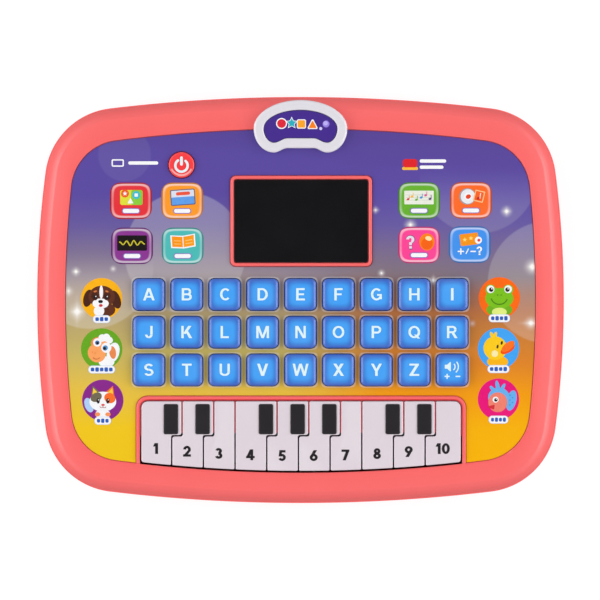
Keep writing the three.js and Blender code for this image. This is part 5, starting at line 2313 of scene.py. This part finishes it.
def frog() -> list[Shape]:
    """A smiling green frog."""
    green = (124, 194, 26)
    return [
        (disc_ground(), (255, 106, 12)),
        (ellipse(0, -5.4, 5.9, 3.2), (112, 178, 30)),
        (ellipse(0, -0.2, 6.4, 4.7), green),
        (circle(-4.0, 3.7, 2.3), green),
        (circle(4.0, 3.7, 2.3), green),
        (circle(-4.0, 3.9, 1.75), WHITE),
        (circle(4.0, 3.9, 1.75), WHITE),
        (circle(-3.7, 3.7, 1.0), DARK),
        (circle(3.7, 3.7, 1.0), DARK),
        (circle(-3.4, 4.1, 0.3), WHITE),
        (circle(4.0, 4.1, 0.3), WHITE),
        (stroke(arc(0, 0.9, 3.9, 3.5, 5.93, 24), 0.4), (66, 124, 18)),
        (circle(-0.8, 1.3, 0.25), (66, 124, 18)),
        (circle(0.8, 1.3, 0.25), (66, 124, 18)),
        (ellipse(0, -6.5, 3.4, 2.0), (226, 240, 130)),
    ]


def duck() -> list[Shape]:
    """A yellow duckling with an orange bill."""
    yellow = (255, 206, 24)
    return [
        (disc_ground(), (66, 166, 246)),
        (ellipse(-0.4, -6.0, 4.8, 2.7), (255, 184, 14)),
        (ellipse(-2.9, 6.0, 0.8, 1.7, 25), yellow),
        (ellipse(-1.4, 6.2, 0.7, 1.5, -15), yellow),
        (ellipse(-1.5, 0.2, 5.3, 5.4, 20), yellow),
        (ellipse(4.2, -0.2, 3.6, 1.7, 30), (250, 78, 20)),
        (ellipse(4.4, 1.0, 3.5, 1.7, 38), (255, 116, 30)),
        (ellipse(-0.4, 0.9, 0.45, 0.9, -12), DARK),
        (ellipse(1.5, 2.6, 0.45, 0.9, -12), DARK),
        (circle(-1.7, -2.3, 1.5), (255, 240, 176)),
    ]


def bird() -> list[Shape]:
    """A light blue bird with a coral face.

    Returns:
        The shapes, the lowest first.
    """
    blue, deep = (104, 178, 240), (70, 140, 216)
    spots = [(circle(5.2 + 1.2 * (i % 2), 1.8 - 1.1 * i, 0.32, 16), deep) for i in range(5)]
    return [
        (disc_ground(), (236, 18, 122)),
        (ellipse(5.9, -0.6, 2.2, 4.7, -14), blue),
        *spots,
        (ellipse(-0.4, 5.9, 0.9, 2.6, 12), blue),
        (ellipse(1.8, 5.0, 0.8, 2.4, -28), blue),
        (ellipse(-2.6, 4.6, 0.8, 1.9, 42), blue),
        (ellipse(0.2, 0.8, 4.9, 4.5), blue),
        (ellipse(-0.3, -1.4, 4.3, 4.5), (242, 130, 112)),
        (filleted([(-5.6, -3.4), (-2.0, -4.8), (-1.6, -2.4)], [0.4, 0.4, 0.4]), (214, 50, 60)),
        (circle(-1.3, -0.2, 1.35), WHITE),
        (circle(-1.15, -0.3, 0.8), DARK),
        (circle(-0.95, 0.0, 0.25), WHITE),
    ]


def blocks_card() -> list[Shape]:
    """A card with a triangle, a disc and a square."""
    return [
        (round_rect(0.2, 1.5, 10.2, 6.8, 0.9), (226, 224, 60)),
        (round_rect(2.7, 1.5, 5.2, 6.8, 0.9), (140, 206, 60)),
        (circle(-2.7, 3.3, 1.8), (240, 96, 40)),
        (star(-2.7, 3.3, 1.1, 5, 0.45), WHITE),
        (circle(2.4, 2.6, 1.8), (60, 190, 214)),
        (round_rect(2.4, 2.6, 1.5, 1.5, 0.2), WHITE),
        (filleted([(-1.6, -1.2), (1.2, -1.2), (-0.2, 1.4)], [0.2] * 3), WHITE),
    ]


def flag_card() -> list[Shape]:
    """A tilted card, pale above and blue below, with a red bar."""
    base = [
        (round_rect(0, 0, 11.2, 7.2, 0.6), (66, 90, 130)),
        (round_rect(0, 0, 10.4, 6.4, 0.4), (222, 226, 240)),
        (round_rect(0, -1.5, 10.4, 3.4, 0.4), (98, 160, 236)),
        (round_rect(0.2, 1.7, 6.4, 1.5, 0.7), (240, 84, 60)),
    ]
    return [(turned(o, 4) + [0.3, 1.6], c) for o, c in base]


def wave_panel() -> list[Shape]:
    """A black panel with a yellow wave."""
    x = np.linspace(-5.6, 5.6, 60)
    wave = np.column_stack([x, 1.3 + 1.25 * np.sin(1.9 * x) * (1 - np.abs(x) / 9)])
    return [
        (round_rect(0, 1.3, 13.6, 7.0, 0.5), (22, 14, 16)),
        (stroke(wave, 0.55), (206, 196, 50)),
    ]


def open_book() -> list[Shape]:
    """An open book with orange pages.

    Returns:
        The shapes, the lowest first.
    """
    page = np.array([(0, -3.0), (5.6, -2.4), (5.6, 3.4), (0, 2.8)])
    inner = np.array([(0.2, -2.4), (5.0, -1.9), (5.0, 2.9), (0.2, 2.3)])
    marks = [stroke([(1.2, y), (4.0, y + 0.3)], 0.35) for y in (-0.9, 0.5)]
    shapes = [
        (page, WHITE),
        (mirrored(page), WHITE),
        (inner, (255, 158, 22)),
        (mirrored(inner), (255, 150, 14)),
        *[(m, (255, 206, 120)) for m in marks],
        *[(mirrored(m), (255, 200, 110)) for m in marks],
    ]
    return [(turned(o, 4) + [0.2, 1.8], c) for o, c in shapes]


def note_card() -> list[Shape]:
    """A pale card with coloured notes.

    Returns:
        The shapes, the lowest first.
    """
    notes = [
        (-5, 0.6, (226, 70, 70)),
        (-3.2, 1.8, (250, 190, 50)),
        (-1.2, 0.4, (110, 180, 60)),
        (1.0, 1.4, (60, 150, 220)),
        (3.0, 2.4, (230, 90, 160)),
        (5.0, 0.8, (90, 70, 120)),
    ]
    shapes: list[Shape] = [(round_rect(0, 1.4, 13.4, 6.2, 0.3), (238, 240, 226))]
    shapes += [(stroke([(-6.0, y), (6.0, y)], 0.14), (190, 200, 190)) for y in (0.2, 1.4, 2.6)]
    for x, y, ink in notes:
        shapes.append((ellipse(x, y, 0.65, 0.5, 20), ink))
        shapes.append((stroke([(x + 0.5, y), (x + 0.5, y + 1.7)], 0.2), ink))
    return shapes


def disc_and_card() -> list[Shape]:
    """A record beside a small card with a note.

    Returns:
        The shapes, the lowest first.
    """
    card = turned(round_rect(0, 0, 4.6, 5.2, 0.4), -14) + [3.7, 1.9]
    inner = turned(round_rect(0, 0, 3.6, 4.2, 0.3), -14) + [3.7, 1.9]
    return [
        (circle(-1.6, 1.8, 3.7), (150, 160, 170)),
        (circle(-1.4, 1.8, 3.3), (236, 238, 242)),
        (circle(-1.4, 1.8, 1.7), WHITE),
        (ellipse(-1.2, 1.7, 1.2, 1.0, 30), (232, 70, 30)),
        (card, (255, 196, 140)),
        (inner, (250, 100, 34)),
        (ellipse(3.4, 0.9, 0.9, 0.65, 20), (210, 40, 20)),
        (stroke([(4.1, 1.0), (4.4, 3.2)], 0.3), WHITE),
    ]


def question() -> list[Shape]:
    """A question mark beside an orange balloon."""
    edge = [(o, (120, 96, 130)) for o in Lettering().outlines("?", 6.6, -3.9, 1.2)]
    face = [(o, (232, 226, 236)) for o in Lettering().outlines("?", 5.8, -4.0, 1.3)]
    return [
        *edge,
        *face,
        (ellipse(3.6, 1.4, 3.5, 3.9), (255, 130, 20)),
        (ellipse(3.6, 0.6, 2.6, 2.6), (250, 100, 10)),
        (ellipse(4.3, 3.0, 1.5, 1.0, -15), (255, 232, 170)),
    ]


def sums() -> list[Shape]:
    """An orange block over a plus, a bar and a minus."""
    block = turned(round_rect(0, 0, 8.4, 5.4, 0.6), 7) + [-0.2, 2.4]
    bars = [
        stroke([(-5.2, -3.1), (-2.8, -3.1)], 0.6),
        stroke([(-4.0, -4.3), (-4.0, -1.9)], 0.6),
        stroke([(-1.6, -4.1), (-0.6, -2.0)], 0.45),
        stroke([(0.6, -3.1), (2.6, -3.1)], 0.6),
    ]
    return [
        (block, (250, 150, 22)),
        (star(-2.2, 2.2, 1.1, 5, 0.45), (255, 224, 120)),
        (star(0.6, 2.9, 1.1, 5, 0.45), (255, 224, 120)),
        (circle(4.0, 2.0, 1.6), WHITE),
        (circle(4.2, 2.0, 0.7), (230, 70, 70)),
        *[(b, WHITE) for b in bars],
        *[(o, WHITE) for o in Lettering().outlines("?", 3.9, 4.4, -2.8)],
    ]


@dataclass
class Artwork:
    """What is printed on the film: eight picture tiles, six animal discs and two small marks."""

    layout: Layout
    tile_w: float = 19.0
    tile_h: float = 16.6
    tile_r: float = 4.8
    layer: float = 0.008
    sunk: float = 0.1
    tile_rise: float = 0.03
    print_rise: float = 0.01
    label_y: float = -9.3

    TILES: ClassVar[dict[str, tuple[float, float, tuple[int, int, int], Picture, bool]]] = {
        "blocks": (-77.1, 45.1, (232, 36, 48), blocks_card, True),
        "flag": (-53.8, 45.1, (255, 154, 14), flag_card, True),
        "wave": (-76.6, 24.6, (138, 40, 144), wave_panel, True),
        "book": (-53.6, 24.6, (70, 188, 184), open_book, True),
        "notes": (53.9, 45.2, (100, 178, 30), note_card, True),
        "record": (77.5, 45.3, (255, 104, 14), disc_and_card, True),
        "question": (53.9, 25.0, (255, 62, 150), question, True),
        "sums": (76.9, 25.2, (58, 146, 240), sums, False),
    }
    DISCS: ClassVar[dict[str, tuple[float, float, Picture, float, int]]] = {
        "dog": (-90.4, 0.6, dog, 8.0, 3),
        "sheep": (-90.4, -22.3, sheep, 12.2, 5),
        "cat": (-89.9, -45.6, cat, 7.6, 3),
        "frog": (90.4, 1.0, frog, 9.8, 4),
        "duck": (90.0, -22.1, duck, 10.0, 4),
        "bird": (90.0, -45.1, bird, 9.0, 4),
    }

    def build(self, palette: Palette) -> None:
        """Makes every printed piece.

        Args:
            palette: the toy's materials.
        """
        base = self.layout.film_top
        for name, (x, y, ink, picture, tagged) in self.TILES.items():
            edge = round_rect(x, y, self.tile_w, self.tile_h, self.tile_r)
            tile = plate(edge, [], base - self.sunk, base + self.tile_rise)
            tile.uv = (tile.verts[:, :2] - [x, y]) * 2 / [self.tile_w, self.tile_h]
            finish = Tile(f"tile_{name}", linear(*ink))
            make_piece(f"tile_{name}", tile, palette.use(finish), Body.CASING.value)
            shapes = picture() + (self.tag() if tagged else [])
            self.print_at(f"picture_{name}", shapes, x, y, self.tile_rise + 0.005, palette)
        for name, (x, y, animal, width, blocks) in self.DISCS.items():
            shapes = animal() + label(width, blocks, self.label_y)
            self.print_at(f"disc_{name}", shapes, x, y, self.print_rise, palette)
        self.print_at("mark_display", self.display_mark(), -74.7, 62.3, self.print_rise, palette)
        self.print_at("mark_pages", self.pages_mark(), 56.0, 61.8, self.print_rise, palette)

    def print_at(
        self, name: str, shapes: list[Shape], x: float, y: float, rise: float, palette: Palette
    ) -> None:
        """Prints shapes about a place on the film.

        Args:
            name: the piece's name.
            shapes: outlines and their colours, the lowest first.
            x, y: the place.
            rise: height of the lowest shape above the film.
            palette: the toy's materials.
        """
        placed = [(outline + [x, y], ink) for outline, ink in shapes]
        film = self.layout.film_top
        self.print_on(name, placed, film, film + rise, palette)

    def print_on(
        self, name: str, shapes: list[Shape], under: float, base: float, palette: Palette
    ) -> None:
        """Stacks coloured shapes, each a layer above the last, as one piece.

        Args:
            name: the piece's name.
            shapes: outlines and their colours, the lowest first.
            under: height of the surface that they are printed on.
            base: height of the lowest shape's face.
            palette: the toy's materials.
        """
        forms = []
        for i, (outline, ink) in enumerate(shapes):
            form = plate(outline, [], under - self.sunk, base + i * self.layer)
            form.ink = np.tile(linear(*ink), (len(form.verts), 1))
            forms.append(form)
        material = palette.use(PRINT_INKS)
        make_piece(name, joined(forms), material, Body.CASING.value)

    @staticmethod
    def tag() -> list[Shape]:
        """The small white tag at a tile's foot."""
        return [
            (round_rect(0, -4.6, 8.2, 2.5, 1.2), (136, 120, 196)),
            (round_rect(0, -4.6, 7.4, 1.8, 0.85), WHITE),
        ]

    @staticmethod
    def display_mark() -> list[Shape]:
        """A little display outline and a bar."""
        return [
            (round_rect(-8.4, 0, 5.6, 3.4, 0.7), WHITE),
            (round_rect(-8.4, 0, 4.4, 2.2, 0.3), (92, 76, 164)),
            (round_rect(3.2, 0, 13.6, 1.5, 0.7), WHITE),
        ]

    @staticmethod
    def pages_mark() -> list[Shape]:
        """A red cap over a yellow bar, beside two white bars."""
        return [
            (round_rect(-6.2, -2.0, 7.2, 1.4, 0.6), (250, 190, 60)),
            (round_rect(-6.2, 0.4, 6.6, 3.8, 1.2), (226, 34, 40)),
            (round_rect(4.2, 1.4, 12.0, 1.5, 0.7), WHITE),
            (round_rect(3.6, -1.4, 10.8, 1.5, 0.7), WHITE),
        ]


# --- stage


@dataclass
class Studio:
    """A pale floor, a light tent that is brightest near the horizon, two side lights, a camera.

    Sizes of the floor and the lamps are metres, and the other lengths are millimetres.
    """

    view_w: float = 273.2
    aside: float = -0.23
    distance: float = 3500.0
    plane: float = 17.0
    tent_base: float = 0.52
    tent_sides: float = 1.45
    port: float = 0.93
    port_full: float = 0.985
    port_dim: float = 0.12
    lift: float = 0.3
    floor_half: float = 3.0
    floor_seen: float = 0.76
    floor_glow: float = 0.05
    lamp_size: tuple[float, float] = (0.5, 1.2)
    lamp_energy: float = 3.5
    lamp_aside: float = 1.1
    lamp_up: float = 0.55
    lamp_tilt: float = 65.0

    def build(self) -> None:
        """Makes the stage."""
        scene = bpy.context.scene
        scene.view_settings.view_transform = "Standard"
        self.camera(scene)
        self.floor()
        self.tent(scene)
        for side in (-1, 1):
            self.side_light(side)

    def camera(self, scene: bpy.types.Scene) -> None:
        """A long lens straight above, with +Y up in the frame.

        Args:
            scene: the scene to look at.
        """
        data = bpy.data.cameras.new("camera")
        data.sensor_width = 36.0
        data.lens = data.sensor_width * self.distance / self.view_w
        data.clip_end = 20.0
        camera = bpy.data.objects.new("camera", data)
        camera.location = (self.aside * MM, 0.0, (self.distance + self.plane) * MM)
        scene.collection.objects.link(camera)
        scene.camera = camera

    def floor(self) -> None:
        """A wide pale sheet under the toy."""
        g = Graph("floor_paint")
        tone = g.mix(g.noise(6.0, 3.0), (0.26, 0.26, 0.26), (0.3, 0.3, 0.3))
        g.put("Base Color", tone)
        seen = g.node("ShaderNodeLightPath").outputs["Is Camera Ray"]
        g.put("Emission Color", (1.0, 1.0, 1.0, 1.0))
        glow = g.math("MULTIPLY_ADD", seen, self.floor_seen, self.floor_glow)
        g.put("Emission Strength", glow)
        g.put("Roughness", 0.9)
        g.put("Specular IOR Level", 0.1)
        half, z = self.floor_half, -self.lift * MM
        corners = [(-half, -half, z), (half, -half, z), (half, half, z), (-half, half, z)]
        mesh = bpy.data.meshes.new("floor")
        mesh.from_pydata(corners, [], [(0, 1, 2, 3)])
        mesh.materials.append(g.material)
        floor = bpy.data.objects.new("floor", mesh)
        bpy.context.scene.collection.objects.link(floor)

    def tent(self, scene: bpy.types.Scene) -> None:
        """World light: base plus sides times the direction's x squared, dimmed straight overhead.

        Args:
            scene: the scene to light.
        """
        world = bpy.data.worlds.new("tent")
        world.use_nodes = True
        scene.world = world
        g = Nodes(world.node_tree)
        axes = g.node("ShaderNodeSeparateXYZ")
        g.link(g.node("ShaderNodeTexCoord").outputs["Generated"], axes.inputs[0])
        square = g.math("MULTIPLY", axes.outputs[0], axes.outputs[0])
        spread = g.math("MULTIPLY_ADD", square, self.tent_sides, self.tent_base)
        hood = g.node("ShaderNodeMapRange")
        ends = {"From Min": self.port, "From Max": self.port_full, "To Min": 1.0}
        for socket, value in {"Value": axes.outputs[2], **ends, "To Max": self.port_dim}.items():
            g.feed(value, hood.inputs[socket])
        light = g.node("ShaderNodeBackground")
        light.inputs["Color"].default_value = (1.0, 1.0, 1.0, 1.0)
        g.link(g.math("MULTIPLY", spread, hood.outputs[0]), light.inputs["Strength"])
        g.link(light.outputs[0], g.node("ShaderNodeOutputWorld").inputs[0])

    def side_light(self, side: int) -> None:
        """A soft panel to one side.

        Args:
            side: -1 for the left and 1 for the right.
        """
        data = bpy.data.lights.new("side_light", "AREA")
        data.shape = "RECTANGLE"
        data.size, data.size_y = self.lamp_size
        data.energy = self.lamp_energy
        lamp = bpy.data.objects.new("side_light", data)
        lamp.location = (side * self.lamp_aside, 0.0, self.lamp_up)
        lamp.rotation_euler = (0.0, side * math.radians(self.lamp_tilt), 0.0)
        bpy.context.scene.collection.objects.link(lamp)


# --- assembly


def dress_packed_nodes(frame: dict, palette: Palette) -> None:
    """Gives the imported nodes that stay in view, or inside, their finishes.

    Args:
        palette: the toy's materials.
    """
    finishes = {
        "back_shell": CORAL_FLAT,
        "battery_door": CORAL_FLAT,
        "battery_door_screw": STEEL,
        "letter_key_mat": RUBBER,
        "piano_key_mat": RUBBER,
        "main_board": LAMINATE,
        "display_module": LAMINATE,
        "speaker": CONE_BLACK,
        "battery_contact_left": STEEL,
        "battery_contact_right": STEEL,
        **{f"battery_cell_{i}": SLEEVE for i in (1, 2, 3)},
        **{f"case_screw_{i}": STEEL for i in (1, 2, 3, 4)},
    }
    for name, finish in finishes.items():
        node = frame["nodes"][name]
        material = palette.use(finish)
        if node.material_slots:
            for holder in node.material_slots:
                holder.material = material
        else:
            node.data.materials.append(material)
        LOG.info("node %s gets %s", name, finish.name)


def main() -> None:
    """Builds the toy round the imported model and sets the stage."""
    logging.basicConfig(level=logging.INFO, format="%(name)s %(message)s")
    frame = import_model()
    palette = Palette()
    layout = Layout()
    Studio().build()
    FrontCasing(layout).build(palette)
    BackEdge(layout).build(palette)
    Film(layout).build(palette)
    Screen(layout).build(palette)
    LetterKeys(layout).build(palette)
    Piano(layout).build(palette)
    Badge(layout).build(palette)
    Artwork(layout).build(palette)
    PowerButton(layout).build(palette)
    dress_packed_nodes(frame, palette)


if __name__ == "__main__":
    main()
